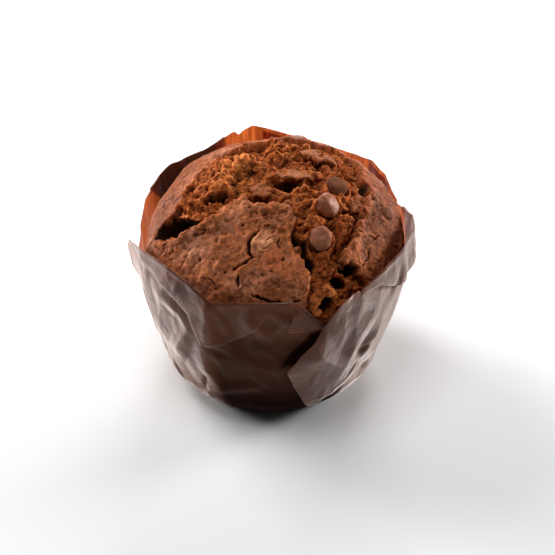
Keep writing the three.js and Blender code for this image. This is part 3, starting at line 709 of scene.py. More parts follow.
def cake_piece(material):
    """The whole cake: the map's disc grid with the crust, sunk where the crumb lies over it, rings down
    the side inside the case, and a foot."""
    a, b = disc_grid(CAKE_CELLS)
    u = a * MAP_ARC
    v = b * MAP_ARC
    depth = tear_depth(u, v)
    crust, masks = crust_height(u, v, depth)
    crumb, under = crumb_height(u, v, depth)
    sunk, dark, split = sunk_holes(u, v)
    torn = ramp(-0.05, 0.4, depth)
    level = np.minimum(soften(crumb, 20) - 2.2, crust - 1.5)
    h = (1 - torn) * crust + torn * level - sunk * np.maximum(ramp(-2.6, -1.6, depth), split)
    h = settle_round_drops(u, v, h) * fade(u, v)
    # Painted shade in the holes and the split, and over the torn part of the body that lies under the crumb.
    hollow = dark * np.maximum(ramp(-2.8, -2.0, depth), split)
    masks["dark"] = np.maximum(np.maximum(masks["dark"], hollow), 0.85 * torn)
    masks["torn"] = ramp(-0.25, 0.1, depth)
    # Painted shade in gaps and painted light on tops, from how far each place stands out.
    masks["cavity_shade"] = cavity(h, 2 * MAP_ARC / CAKE_CELLS)
    masks["golden"] = under["golden"]
    top = rise_points(u, v, h).reshape(-1, 3)
    wide = CAKE_CELLS + 1
    last = CAKE_CELLS * wide
    k = np.arange(CAKE_CELLS)
    ring = np.concatenate([k, k * wide + CAKE_CELLS, last + CAKE_CELLS - k, last - k * wide])
    angle = np.arctan2(top[ring, 1], top[ring, 0] - LEAN * top[ring, 2])
    points = [top]
    faces = [grid_faces(wide, wide)]
    count = wide * wide
    for row in range(1, SIDE_ROWS + 1):
        height = CAKE_FOOT + (CAKE_EDGE - MAP_REACH - CAKE_FOOT) * (1 - row / SIDE_ROWS) ** 1.3
        z = np.full(ring.size, height)
        radius = side_radius(z) + 0.25 * rough(angle * SHEET_RADIUS, z, 5, 3, 141) * ramp(0, 6, z)
        points.append(np.stack([radius * np.cos(angle) + LEAN * z, radius * np.sin(angle), z], -1))
        below = count + np.arange(ring.size)
        faces.append(np.stack([ring, below, np.roll(below, -1), np.roll(ring, -1)], -1))
        ring = below
        count += ring.size
    points.append([[0, 0, CAKE_FOOT]])
    faces.append(np.stack([ring, np.full(ring.size, count), np.roll(ring, -1)], -1))
    below_map = count + 1 - wide * wide
    numbers = {}
    for key, value in masks.items():
        rest = LEVEL_PIT if key == "cavity_shade" else 0.0
        numbers[key] = np.concatenate([value.ravel(), np.full(below_map, rest)])
    new_piece("cake_body", np.concatenate(points), faces, material, ["cake"], numbers)


CRUMB_STEP = 0.27  # between the points of the crumb's grid
CRUMB_U = (-43, 36)  # the part of the map that the crumb's grid covers
CRUMB_V = (-55, 31)
UNDER_CRUST = 1.3  # how far the crumb passes under the crust


def crumb_piece(material):
    """The bed of torn crumb: a fine grid over the torn zone, whose edge passes under the crust."""
    u, v = np.meshgrid(np.arange(*CRUMB_U, CRUMB_STEP), np.arange(*CRUMB_V, CRUMB_STEP))
    depth = tear_depth(u, v)
    h, masks = crumb_height(u, v, depth)
    sunk, dark, _ = sunk_holes(u, v)
    h = h - sunk - 2.4 * ramp(0.1, UNDER_CRUST, -depth)
    h = settle_round_drops(u, v, h) * fade(u, v)
    numbers = {
        "torn": np.ones_like(u),
        # Painted shade in the holes, the pores and the crater.
        "dark": np.maximum(masks["dark"], dark),
        "golden": masks["golden"],
        # Painted shade in gaps and painted light on tops.
        "cavity_shade": cavity(h, CRUMB_STEP),
    }
    used = (depth > -UNDER_CRUST) & (np.hypot(u, v) < MAP_ARC - 0.4)
    faces = grid_faces(*u.shape)
    faces = faces[used.ravel()[faces].all(axis=1)]
    kept, faces = np.unique(faces, return_inverse=True)
    points = rise_points(u, v, h).reshape(-1, 3)[kept]
    numbers = {key: value.ravel()[kept] for key, value in numbers.items()}
    new_piece("cake_torn_crumb", points, [faces.reshape(-1, 4)], material, ["cake"], numbers)


# Points of a broken piece of crust: round its outline, from its middle out, and down its side.
SLAB_COLUMNS = 110
SLAB_RINGS = 26
SLAB_SIDE_ROWS = 9


def outline_reach(corners, c, s):
    """Distance from the origin to a closed outline round it, in directions of cosine c and sine s: where
    their lines meet its straight sides."""
    reach = np.full(c.shape, np.inf)
    for (x0, y0), (x1, y1) in zip(corners, np.roll(corners, -1, axis=0)):
        dx = x1 - x0
        dy = y1 - y0
        with np.errstate(divide="ignore", invalid="ignore"):
            away = (x0 * dy - y0 * dx) / (c * dy - s * dx)
            share = ((away * c - x0) * dx + (away * s - y0) * dy) / (dx**2 + dy**2)
        reach = np.where((away > 0) & (share >= 0) & (share <= 1), np.minimum(reach, away), reach)
    return reach


def slab_surface(number, outline, rise, tilt_u, tilt_v):
    """Points of a broken piece of crust, and numbers on them: rows run from its middle out to its ragged
    outline, over the edge and down its crumbly side, which leans in."""
    turn = np.linspace(0, TAU, SLAB_COLUMNS, endpoint=False)
    share = np.concatenate([np.linspace(0, 1, SLAB_RINGS) ** 0.8, np.ones(SLAB_SIDE_ROWS)])[:, None]
    down = np.concatenate([np.zeros(SLAB_RINGS), np.linspace(0, 1, SLAB_SIDE_ROWS + 1)[1:]])[:, None]
    c = np.cos(turn)
    s = np.sin(turn)
    corners = np.array(outline, dtype=float)
    middle = corners.mean(axis=0)
    reach = outline_reach(corners - middle, c, s)
    reach = reach * (1 + 0.14 * rough(3 * c + 20 * number, 3 * s, 0.9, 3, 171))
    out = share * reach * (1 - 0.22 * down**1.5)
    u = middle[0] + out * c
    v = middle[1] + out * s
    around = np.linspace(-3, 3, 9)
    bed_u, bed_v = np.meshgrid(middle[0] + around, middle[1] + around)
    bed, _ = crumb_height(bed_u, bed_v, tear_depth(bed_u, bed_v))
    skin, _ = crust_height(u, v, np.full(u.shape, -9.0))
    ruin = 1.1 * (billow(u, v, 3.4, 4, 181 + number) - 0.3)
    edge = np.broadcast_to(share**8, u.shape)
    low = np.broadcast_to(down, u.shape)
    side = low > 0
    round_ = np.broadcast_to(9 * turn, u.shape)
    h = float(bed.mean()) + rise + tilt_u * (u - middle[0]) + tilt_v * (v - middle[1])
    h = h + 0.8 * skin + ruin - 0.7 * edge - SLAB_THICKNESS * low
    h = h + side * 0.6 * rough(round_, 4 * low, 1.6, 3, 173 + number)
    crumbly = side * 0.5 * rough(round_, 5 * low, 1.3, 3, 177 + number)
    numbers = {
        "torn": np.where(side, 1.0, 0.35 * edge),
        # Painted shade darker down the side towards the crumb; on top, painted shade in hollows and painted
        # light on bumps.
        "cavity_shade": np.where(side, 0.42 - 0.3 * low, LEVEL_PIT + 0.5 * (skin - soften(skin, 6))),
        "crumbled": np.full(u.shape, 0.9),
        # Painted shade at the foot of the side, under the piece.
        "dark": 0.8 * ramp(0.3, 1, low),
    }
    return rise_points(u + crumbly * c, v + crumbly * s, h), numbers


def slab_pieces(material):
    """Broken pieces of crust that lie on the crumb, joined in one mesh."""
    parts = [slab_surface(number, *slab) for number, slab in enumerate(SLABS)]
    points = [place.reshape(-1, 3) for place, _ in parts]
    one = grid_faces(SLAB_RINGS + SLAB_SIDE_ROWS, SLAB_COLUMNS, wrap=True)
    faces = [one + number * len(points[0]) for number in range(len(parts))]
    numbers = {key: np.concatenate([part[key].ravel() for _, part in parts]) for key in parts[0][1]}
    new_piece("cake_broken_crust", np.concatenate(points), faces, material, ["cake"], numbers)


# ======== Loose crumb ========
def ball(rounds):
    """Points and faces of a unit ball: an icosahedron whose edges are halved that many times."""
    golden = (1 + math.sqrt(5)) / 2
    points = [(-1, golden, 0), (1, golden, 0), (-1, -golden, 0), (1, -golden, 0)]
    points += [(0, -1, golden), (0, 1, golden), (0, -1, -golden), (0, 1, -golden)]
    points += [(golden, 0, -1), (golden, 0, 1), (-golden, 0, -1), (-golden, 0, 1)]
    faces = [(0, 11, 5), (0, 5, 1), (0, 1, 7), (0, 7, 10), (0, 10, 11), (1, 5, 9), (5, 11, 4)]
    faces += [(11, 10, 2), (10, 7, 6), (7, 1, 8), (3, 9, 4), (3, 4, 2), (3, 2, 6), (3, 6, 8)]
    faces += [(3, 8, 9), (4, 9, 5), (2, 4, 11), (6, 2, 10), (8, 6, 7), (9, 8, 1)]
    for _ in range(rounds):
        halves = {}
        finer = []
        for a, b, c in faces:
            mids = []
            for edge in ((a, b), (b, c), (c, a)):
                key = tuple(sorted(edge))
                if key not in halves:
                    halves[key] = len(points)
                    points.append(tuple((np.array(points[key[0]]) + np.array(points[key[1]])) / 2))
                mids.append(halves[key])
            finer += [(a, mids[0], mids[2]), (b, mids[1], mids[0]), (c, mids[2], mids[1]), tuple(mids)]
        faces = finer
    points = np.array(points)
    return points / np.linalg.norm(points, axis=1, keepdims=True), np.array(faces)


def turned(draw, count):
    """Random turns, as rotation matrices made from random unit quaternions."""
    q = draw.normal(size=(count, 4))
    w, x, y, z = (q / np.linalg.norm(q, axis=1, keepdims=True)).T
    rows = [
        [1 - 2 * (y * y + z * z), 2 * (x * y - z * w), 2 * (x * z + y * w)],
        [2 * (x * y + z * w), 1 - 2 * (x * x + z * z), 2 * (y * z - x * w)],
        [2 * (x * z - y * w), 2 * (y * z + x * w), 1 - 2 * (x * x + y * y)],
    ]
    return np.array(rows).transpose(2, 0, 1)


LOOSE_U = (-41, 36)  # the part of the map where loose crumb is looked for
LOOSE_V = (-53, 30)
TRIES = 14  # places drawn for each lump
PLANES = 11  # soft planes that cut a lump
# Ripples that fold a lump's skin, as waves per radius and height: for knobs, for folds and for grain, three
# of each.
RIPPLES = [(1.6, 0.12), (3.2, 0.1), (6.5, 0.06)]
# Loose crumb: halvings of the ball, count, smallest and largest radius, how far sunk as a share of the
# radius, seed, and whether it is crusty.
SCATTERS = {
    "crumb_lumps": (3, 60, 1.1, 2.3, 0.4, 3, False),
    "crumbs_large": (2, 260, 0.45, 1.0, 0.1, 5, False),
    "crumbs_small": (1, 1400, 0.18, 0.42, 0.0, 4, False),
    "crusty_lumps": (2, 60, 0.5, 1.2, 0.4, 6, True),
}


def crumb_spots(draw, count, smallest, largest, sunken, crusty):
    """Seeded lumps, as their middles, radii, torn shares and golden shares: they lie on the bed of crumb,
    or if crusty where the crust is broken up, clear of the dark holes, the crater, the split and the
    drops."""
    u = draw.uniform(*LOOSE_U, count * TRIES)
    v = draw.uniform(*LOOSE_V, count * TRIES)
    radius = smallest * (largest / smallest) ** (draw.uniform(0, 1, u.size) ** 1.4)
    depth = tear_depth(u, v)
    bed, masks = crumb_height(u, v, depth)
    sunk, dark, _ = sunk_holes(u, v)
    dark = np.maximum(dark, ramp(1.0, 3.0, -crater_rise(u, v)))
    if crusty:
        skin, crust_masks = crust_height(u, v, depth)
        chance = ramp(0.25, 0.9, crust_masks["crumbled"]) * (depth < 0.6)
        bed = np.where(depth < 0, skin, bed)
        torn = 0.15 + 0.5 * draw.uniform(0, 1, u.size)
    else:
        chance = ramp(0.2, 1.2, depth - 0.7 * radius)
        torn = np.ones(u.size)
    keep = (draw.uniform(0, 1, u.size) < chance) & (dark < 0.25) & (np.hypot(u, v) < MAP_ARC - 3.5)
    keep &= np.hypot(u - CRATER["u"], v - CRATER["v"]) > 3 + radius
    keep &= outline_depth(u, v, FISSURE) < -0.8 - radius
    place = rise_points(u, v, bed)
    for drop_name in DROPS:
        keep &= np.linalg.norm(reach_from_drop(drop_name, place)[..., :2], axis=-1) > 1.1 + radius / 4
    chosen = np.flatnonzero(keep)[:count]
    middle = rise_points(u[chosen], v[chosen], (bed - sunk - sunken * radius)[chosen])
    return middle, radius[chosen], torn[chosen], masks["golden"][chosen]


def chunks(draw, unit, radius):
    """Angular lumps made from a unit ball's points, and how far out each point is folded: the ball is cut
    by random planes with soft edges, folded by crossing ripples, drawn out along its axes and turned."""
    total = len(radius)
    sides = draw.normal(size=(total, PLANES, 3))
    sides /= np.linalg.norm(sides, axis=2, keepdims=True)
    facing = np.clip(np.einsum("pk,nsk->nps", unit, sides), 0, 1)
    facing = facing / draw.uniform(0.6, 1.0, (total, 1, PLANES))
    cut = np.minimum((np.sum(facing**9, axis=2) + 1e-3) ** (-1 / 9), 1.25)
    paces, heights = np.repeat(RIPPLES, 3, axis=0).T
    grain = draw.normal(size=(total, len(paces), 3)) * paces[None, :, None]
    shift = draw.uniform(0, TAU, (total, len(paces), 1))
    folds = 0.0
    for k, height in enumerate(heights):
        folds = folds + height * np.abs(np.sin(np.einsum("pk,nk->np", unit, grain[:, k]) + shift[:, k]))
    stretch = draw.uniform(0.7, 1.25, (total, 1, 3))
    shape = unit[None] * (cut * (0.62 + 0.9 * folds))[..., None] * stretch * radius[:, None, None]
    return np.einsum("npk,nlk->npl", shape, turned(draw, total)), folds


def crumb_scatter(name, rounds, count, smallest, largest, sunken, seed, crusty, material):
    """Loose lumps of crumb joined in one mesh, part sunk in what they lie on; crusty ones keep some of the
    crust's colour."""
    draw = np.random.default_rng(seed)
    middle, radius, torn, golden = crumb_spots(draw, count, smallest, largest, sunken, crusty)
    unit, faces = ball(rounds)
    shape, folds = chunks(draw, unit, radius)
    total = len(radius)
    spread = np.ones(len(unit))
    # Painted shade in each lump's folds and painted light on its ridges, with a random tone for each lump.
    cavity_shade = LEVEL_PIT + 1.3 * (folds - folds.mean(axis=1, keepdims=True))
    cavity_shade = cavity_shade + draw.uniform(-0.16, 0.16, (total, 1))
    numbers = {
        "torn": np.outer(torn, spread).ravel(),
        "crumbled": np.ones(total * len(unit)),
        "golden": np.outer(golden, spread).ravel(),
        "cavity_shade": np.clip(cavity_shade, 0.1, 0.9).ravel(),
    }
    points = (shape + middle[:, None, :]).reshape(-1, 3)
    faces = (faces[None] + np.arange(total)[:, None, None] * len(unit)).reshape(-1, 3)
    new_piece(name, points, [faces], material, ["cake"], numbers)


# Side view of a drop, as shares of its half sizes: a rounded underside, a soft rim and a flat face.
DROP_PROFILE = [(0, -1), (0.35, -0.95), (0.62, -0.8), (0.82, -0.52), (0.93, -0.25), (0.985, 0.0), (1, 0.2)]
DROP_PROFILE += [(0.975, 0.42), (0.91, 0.6), (0.8, 0.75), (0.65, 0.86), (0.4, 0.95), (0, 1)]
DROP_ROWS = 56  # points along that side view
DROP_COLUMNS = 96  # and round the drop


def drop_piece(name, seed, material):
    """A chocolate drop that softened in the oven: its side view turned round its axis, with a slightly
    wavy outline, dimples, and a face that slumped to either side of a ridge, which each drop has in a
    direction of its own."""
    half, _ = DROPS[name]
    middle, axes = DROP_FRAMES[name]
    middle = middle - axes[2] * SETTLED.get(name, 0.0)
    profile = np.array(DROP_PROFILE)
    length = np.concatenate([[0], np.cumsum(np.hypot(*np.diff(profile, axis=0).T))])
    share = np.linspace(0, length[-1], DROP_ROWS)
    across = soften(np.interp(share, length, profile[:, 0])[None], 4)[0, 1:-1, None]
    up = soften(np.interp(share, length, profile[:, 1])[None], 4)[0, 1:-1, None]
    turn = np.linspace(0, TAU, DROP_COLUMNS, endpoint=False)
    x = across * np.cos(turn)
    y = across * np.sin(turn)
    outline = 1 + 0.14 * rough(2 * np.cos(turn) + 9 * seed, 2 * np.sin(turn), 2.6, 3, 161, 0.4)
    dents = 0.17 * rough(2 * x + 7 * seed, 2 * y + 2 * up, 2.4, 4, 163, 0.45) * ramp(-0.6, 0.2, up)
    ridge = 0.9 * (seed - 1)
    aside = x * math.cos(ridge) + y * math.sin(ridge) + 0.22
    slump = ramp(0.0, 0.8, up) * (0.1 * aside - 0.42 * np.sqrt(aside**2 + 0.006) + 0.12)
    body = np.stack([x * outline, y * outline, up * 0.96 + dents + slump], -1)
    body = np.concatenate([body.reshape(-1, 3), [[0, 0, -1], body[-1].mean(axis=0)]])
    body = (body * np.array(half)) @ axes + middle
    foot = (DROP_ROWS - 2) * DROP_COLUMNS
    i = np.arange(DROP_COLUMNS)
    after = (i + 1) % DROP_COLUMNS
    last = foot - DROP_COLUMNS
    faces = [
        grid_faces(DROP_ROWS - 2, DROP_COLUMNS, wrap=True),
        np.stack([after, i, np.full(DROP_COLUMNS, foot)], -1),
        np.stack([last + i, last + after, np.full(DROP_COLUMNS, foot + 1)], -1),
    ]
    # How far the drop is darkened by crumb dust and by painted shade.
    numbers = {"crumb_and_shade": np.full(len(body), CRUMB_AND_SHADE.get(name, 0.0))}
    new_piece(name + "_chocolate", body, faces, material, [name], numbers)


# ======== The paper's form ========
# Sharp folds in the wall: path of (azimuth, height), half width and height in mm.
FOLDS = [
    ([(243, 58), (241, 44), (240, 33)], 7, 0.9),
    ([(222, 60), (214, 44), (209, 24)], 6, 0.7),
    ([(231, 39), (224, 30), (216, 19)], 4, 1.0),
    ([(236, 32), (238, 22), (246, 15)], 4, 0.9),
    ([(240, 13.5), (252, 17.6), (265, 20)], 3.5, 1.2),
    ([(265, 20), (267, 28), (258, 32)], 4, 0.9),
    ([(250, 40), (262, 33), (272, 20)], 5, -0.7),
    ([(200, 50), (204, 36), (212, 26)], 5, 0.9),
    ([(213, 46), (226, 43), (231, 38)], 3.5, 0.8),
    ([(286, 42), (290, 34), (298, 27), (306, 22)], 5, 1.0),
    ([(318, 44), (309, 34), (304, 20)], 5, 0.7),
    ([(326, 40), (322, 30), (312, 18)], 4, 0.8),
    ([(333, 60), (336, 48), (331, 36)], 4, 0.8),
    ([(352, 58), (347, 40), (340, 20)], 6, 0.9),
    ([(12, 52), (8, 34), (15, 14)], 6, 0.8),
    ([(34, 55), (28, 36), (33, 12)], 6, -0.8),
    ([(63, 56), (56, 38), (49, 14)], 6, 0.9),
    ([(97, 60), (92, 38), (96, 12)], 7, 0.9),
    ([(122, 56), (127, 38), (120, 14)], 6, -0.8),
    ([(152, 50), (146, 32), (150, 12)], 6, 0.9),
    ([(176, 44), (170, 30), (176, 12)], 6, 0.8),
    ([(191, 54), (187, 34), (193, 14)], 6, 0.9),
]
CRUMPLES = 380  # short folds all over the wall
FLAT_MAP_SCALE = 0.01  # units of the paper's flat map per mm
FOOT_STAIN_AND_SHADE = 0.5  # how dark the middle of the foot is made, by grease and by painted shade
RIGHT_CORNER_MIDDLE = 352  # azimuth of the smooth middle of the right corner
# The large side fold: its free left edge and its right end, as height and azimuth.
SIDE_FOLD_EDGE = [(5, 291), (9, 287), (20, 280), (29, 276), (36.5, 281), (41, 286.5)]
SIDE_FOLD_EDGE += [(47, 291), (54, 296.5), (57, 301)]
SIDE_FOLD_END = [(5, 296), (8, 300), (12, 309), (17, 324), (20, 330), (34, 332)]
SIDE_FOLD_END += [(44, 321), (52.5, 311), (57, 304)]
# Turned-down corners: hem of (azimuth, height), stand-off in mm, seed and flare in mm.
FRONT_HEM = [(196, 57), (211, 54), (220, 51), (232, 45), (238, 34.8), (242, 34.6)]
FRONT_HEM += [(249, 38), (257, 42), (262, 46), (269, 53), (277, 56.5)]
RIGHT_HEM = [(305, 55), (316, 54), (329, 47.5), (336, 45), (344, 45.5)]
RIGHT_HEM += [(352, 46.5), (360, 48), (368, 51), (376, 53)]
BACK_HEM = [(112, 57), (117, 47), (126, 40), (137, 44), (148, 49), (154, 54)]
CORNERS = {
    "paper_front_corner": (FRONT_HEM, 1.0, 21, 0.0),
    "paper_right_corner": (RIGHT_HEM, 1.5, 22, 0.3),
    "paper_back_corner": (BACK_HEM, 1.1, 23, 0.0),
}
FLARE_AZIMUTHS = (340, 354)  # where a corner starts to flare out, and where it does so in full
# Pleats: azimuth, width and slant in degrees, stand-off in mm and seed.
PLEATS = {
    "paper_pleat_right": (28, 20, 6, 0.9, 24),
    "paper_pleat_back": (80, 18, 6, 0.9, 25),
    "paper_pleat_left": (188, 12, -3, 0.8, 26),
}
# Rows and columns of the sheets' grids; a corner has as many columns as its width asks for.
CUP_GRID = (92, 460)
SIDE_FOLD_GRID = (104, 96)
TIP_GRID = (40, 40)
PLEAT_GRID = (80, 34)
CORNER_ROWS = 48
CORNER_COLUMNS = 1.7  # per degree


def fold_relief(azimuth, z):
    """Sharp folds: along each path the paper stands out like a tent, highest in the path's middle."""
    x = np.radians(azimuth) * SHEET_RADIUS
    total = np.zeros(np.shape(x))
    for path, half_width, height in FOLDS:
        route = [(math.radians(a) * SHEET_RADIUS, h) for a, h in path]
        away, along = path_distance(x, z, route)
        total += height * np.clip(1 - away / half_width, 0, 1) * (0.4 + 0.6 * np.sin(math.pi * along))
    return total


def crumple(azimuth, z, count, reach, seed):
    """Crumpled sheet: seeded short straight folds, each a low tent up or down, about 1 high at most. The
    sheet closes on itself round the case."""
    whole = TAU * SHEET_RADIUS
    x = np.radians(azimuth) * SHEET_RADIUS
    draw = np.random.default_rng(seed)
    total = np.zeros(np.shape(x))
    for _ in range(count):
        mx = draw.uniform(0, whole)
        my = draw.uniform(3, 60)
        turn = draw.normal(math.pi / 2, 0.6)
        half = reach * draw.uniform(0.5, 1.6)
        rise = draw.uniform(-1, 1)
        width = half * draw.uniform(0.22, 0.45)
        dx = np.mod(x - mx + whole / 2, whole) - whole / 2
        along = dx * math.cos(turn) + (z - my) * math.sin(turn)
        aside = (z - my) * math.cos(turn) - dx * math.sin(turn)
        total += rise * np.clip(1 - np.abs(aside) / width, 0, 1) * np.clip(1 - (along / half) ** 2, 0, 1)
    return total


def edge_at(edge, z):
    """Azimuth of an edge of the side fold at a height, straight between its points."""
    heights, azimuths = np.array(edge, dtype=float).T
    return np.interp(z, heights, azimuths)


def fat_stain_and_shade(azimuth, z):
    """How dark the sheet is made, by grease and by painted shade: most, as a painted shadow, in the pocket
    beside the free edge of the side fold; then the low front, by grease and by painted shade under the
    hem; a band round the foot from the left to the front, painted shade that dulls the sheen there; and
    the inner side at the back left, painted shade that dims the light through it."""
    edge = edge_at(SIDE_FOLD_EDGE, z)
    # Painted shadow in the pocket under the side fold's free edge.
    pocket = (1 - ramp(2, 7, edge - azimuth)) * band(24, 31, 43, 46, z) * (azimuth < edge + 8)
    low = 0.3 + 0.42 * (1 - ramp(38, 46, z)) + 0.23 * (1 - ramp(6, 28, z))
    low = low * band(230, 248, 302, 318, azimuth)
    back = 0.5 * band(112, 122, 146, 158, azimuth) * ramp(40, 48, z)
    foot = 0.5 * (1 - ramp(5, 26, z)) * band(192, 214, 302, 318, azimuth)
    return np.maximum(np.maximum(0.92 * pocket, foot), np.maximum(low, back))


def calm_share(azimuth, z):
    """How far the crumples fade where the sheet lies smoother: above at the front left, on the side fold,
    and on the corner at the right."""
    left = 0.4 * ramp(28, 38, z) * band(190, 198, 232, 240, azimuth)
    fold = 0.52 * band(6, 12, 46, 52, z) * band(270, 278, 306, 316, azimuth)
    from_right = np.abs(np.mod(azimuth + 180 - RIGHT_CORNER_MIDDLE, 360) - 180)
    return left + fold + 0.45 * ramp(40, 46, z) * (1 - ramp(14, 24, from_right))


def wall_point(azimuth, z, lift):
    """A point of the paper: the round wall below, straight-edged at the rim, with its folds and
    crumples, moved out by lift."""
    azimuth = np.mod(azimuth, 360)
    height, out = rim_at(azimuth)
    crumples = (0.7 - calm_share(azimuth, z)) * crumple(azimuth, z, CRUMPLES, 8, 5)
    creased = np.clip(1.25 * fold_relief(azimuth, z) + crumples, -1.0, 2.0)
    grow = ramp(2, 14, z) * (1 - 0.6 * ramp(-4, 1, z - height))
    radius = wall_radius(z) + out * ramp(RIM_START, height, z) + grow * creased + lift
    turn = np.radians(azimuth)
    return np.stack([radius * np.cos(turn) + LEAN * z, radius * np.sin(turn), z], -1)


def sheet_piece(name, azimuth, z, lift, material, wrap=False, closed_foot=False, soaked_and_shaded=0.0):
    """One layer of paper on a grid of azimuths and heights; lift is how far it stands off the wall, and the
    last argument how dark it is made, by grease and by painted shade."""
    rows, columns = azimuth.shape
    points = wall_point(azimuth, z, lift).reshape(-1, 3)
    faces = [grid_faces(rows, columns, wrap)]
    flat_map = np.stack([np.radians(azimuth) * SHEET_RADIUS, z], -1).reshape(-1, 2) * FLAT_MAP_SCALE
    soaked_and_shaded = (soaked_and_shaded + 0 * z).ravel()
    if closed_foot:
        i = np.arange(columns)
        faces.append(np.stack([np.full(columns, len(points)), (i + 1) % columns, i], -1))
        points = np.concatenate([points, [[0, 0, 0]]])
        flat_map = np.concatenate([flat_map, [[0, 0]]])
        soaked_and_shaded = np.append(soaked_and_shaded, FOOT_STAIN_AND_SHADE)
    numbers = {
        "streaked": ramp(44, 54, points[:, 2]) * ramp(-4, 14, points[:, 1]),
        "soaked_and_shaded": soaked_and_shaded,
    }
    piece = new_piece(name, points, faces, material, ["paper_case"], numbers, flat_map)
    solid = piece.modifiers.new("thickness", "SOLIDIFY")
    solid.thickness = PAPER * MM
    solid.offset = 1


def paper_cup(material):
    """The sheet that holds the cake: rows from the edge of the foot, round the heel and up to the rim,
    which is slightly ragged."""
    rows, columns = CUP_GRID
    around = np.linspace(0, 360, columns, endpoint=False)
    azimuth, share = np.meshgrid(around, np.linspace(0, 1, rows) ** 1.15)
    height, _ = rim_at(azimuth)
    z = share * height
    ragged = 0.2 * rough(np.radians(azimuth) * SHEET_RADIUS, z * 0, 4, 2, 211)
    z = z + ragged * ramp(0.9, 1, share)
    lift = np.full(z.shape, -PAPER)
    # Darkened by grease and by painted shade.
    stain_and_shade = fat_stain_and_shade(azimuth, z)
    sheet_piece("paper_cup", azimuth, z, lift, material, wrap=True, closed_foot=True, soaked_and_shaded=stain_and_shade)


def turned_down_corner(name, hem, lift, seed, flare, material):
    """A corner of the sheet folded out over the rim: rows run from just inside the fold, over it, and
    down to the hem, which is straight between its points."""
    hem = np.array(hem, dtype=float)
    columns = int((hem[-1, 0] - hem[0, 0]) * CORNER_COLUMNS)
    around = np.linspace(hem[0, 0], hem[-1, 0], columns)
    azimuth, down = np.meshgrid(around, np.linspace(0, 1, CORNER_ROWS))
    top, _ = rim_at(azimuth)
    low = np.minimum(np.interp(azimuth, hem[:, 0], hem[:, 1]), top - 0.8)
    over = ramp(0, 0.12, down)
    fold = top + 0.35
    z = fold - (fold - low) * np.clip((down - 0.04) / 0.96, 0, 1) ** 1.05 - 0.5 * (1 - over)
    hang = np.clip((top - low) / 12, 0.15, 1) * ramp(0.1, 0.9, down) * (1 - 0.3 * ramp(0.93, 1, down))
    away = 0.75 * over - PAPER - 0.2 + (lift + flare * ramp(*FLARE_AZIMUTHS, azimuth)) * hang
    away = away + 0.35 * crumple(azimuth, z, 130, 6, seed) * ramp(0.15, 0.5, down)
    # Darkened by grease and by painted shade, with painted shade along the hem's last rows that hides their
    # sheen.
    stain_and_shade = np.maximum(0.9 * fat_stain_and_shade(azimuth, z), 0.7 * ramp(0.95, 1, down))
    sheet_piece(name, azimuth, z, away, material, soaked_and_shaded=stain_and_shade)


def side_fold(material):
    """The big fold that wraps the front right: each row runs from the free edge, which stands off the
    wall and casts a shadow, to the end where it is tucked in."""
    rows, columns = SIDE_FOLD_GRID
    across, z = np.meshgrid(np.linspace(0, 1, columns), np.linspace(56.6, 5.5, rows))
    left = edge_at(SIDE_FOLD_EDGE, z)
    azimuth = left + (edge_at(SIDE_FOLD_END, z) - left) * across
    corner = np.exp(-(((z - 33) / 9) ** 2))
    lift = 0.5 + (0.6 + 2.4 * corner) * (1 - ramp(0, 0.5, across)) * ramp(5, 14, z)
    lift = lift - 0.35 * ramp(0.8, 1, across)
    lift = lift + 0.16 * crumple(azimuth, z, 150, 6, 9) * ramp(0.02, 0.2, across)
    sheet_piece("paper_side_fold", azimuth, z, lift, material)


def shares(rows, columns):
    """Shares from 0 to 1 across and down a grid."""
    return np.meshgrid(np.linspace(0, 1, columns), np.linspace(0, 1, rows))


def folded_tip(material):
    """A tip of paper folded over under the lowest corner of the rim: its left edge is free and stands
    off, its right edge follows the rim."""
    across, down = shares(*TIP_GRID)
    azimuth = 278.3 - 2.3 * down + (1 + 13.0 * down) * across
    z = 55.0 - 9.0 * down + across * (0.8 - 1.6 * down)
    lift = 0.3 + 1.3 * (1 - across) ** 0.8 * ramp(0, 0.3, down)
    sheet_piece("paper_folded_tip", azimuth, z, lift, material, soaked_and_shaded=0.15)


def pleat(name, azimuth, width, slant, lift, seed, material):
    """Spare paper pressed flat: an upright tuck with one free edge, whose top follows the rim and whose
    foot dies out towards the heel."""
    across, down = shares(*PLEAT_GRID)
    top, _ = rim_at(azimuth + slant + width * (across - 0.5))
    z = top - 1.2 + (8.2 - top) * down
    spread = azimuth + slant * (1 - down) + width * (across - 0.5) * (1 - 0.45 * down)
    away = -0.4 + 0.5 * ramp(1, 0.9, down) + lift * (1 - down) ** 0.7 * (1 - across) ** 0.6
    away = away + 0.2 * crumple(spread, z, 130, 5, seed) * (1 - down) * (1 - across)
    sheet_piece(name, spread, z, away, material)


# ======== Finishes ========
def feed(tree, node, inputs):
    """Fills a node's inputs: each gets a value, a colour, or another node's output to link."""
    for key, value in inputs.items():
        socket = node.inputs[key]
        if isinstance(value, bpy.types.NodeSocket):
            tree.links.new(value, socket)
        elif socket.type == "RGBA":
            socket.default_value = (*value, 1)
        else:
            socket.default_value = value


def add_node(tree, kind, inputs=None, **settings):
    """A shader node with its settings and its inputs filled."""
    node = tree.nodes.new(kind)
    for key, value in settings.items():
        setattr(node, key, value)
    feed(tree, node, inputs or {})
    return node


def number_on_points(tree, name):
    """The named number that the mesh carries on its points."""
    return add_node(tree, "ShaderNodeAttribute", attribute_name=name).outputs["Fac"]


def noise(tree, coordinates, size, detail=3.0, roughness=0.55, distortion=0.0):
    """Noise whose lumps are about size mm across, from 0 to 1."""
    look = {"Detail": detail, "Roughness": roughness, "Distortion": distortion}
    inputs = {"Vector": coordinates, "Scale": 1 / (size * MM), **look}
    return add_node(tree, "ShaderNodeTexNoise", inputs).outputs["Fac"]


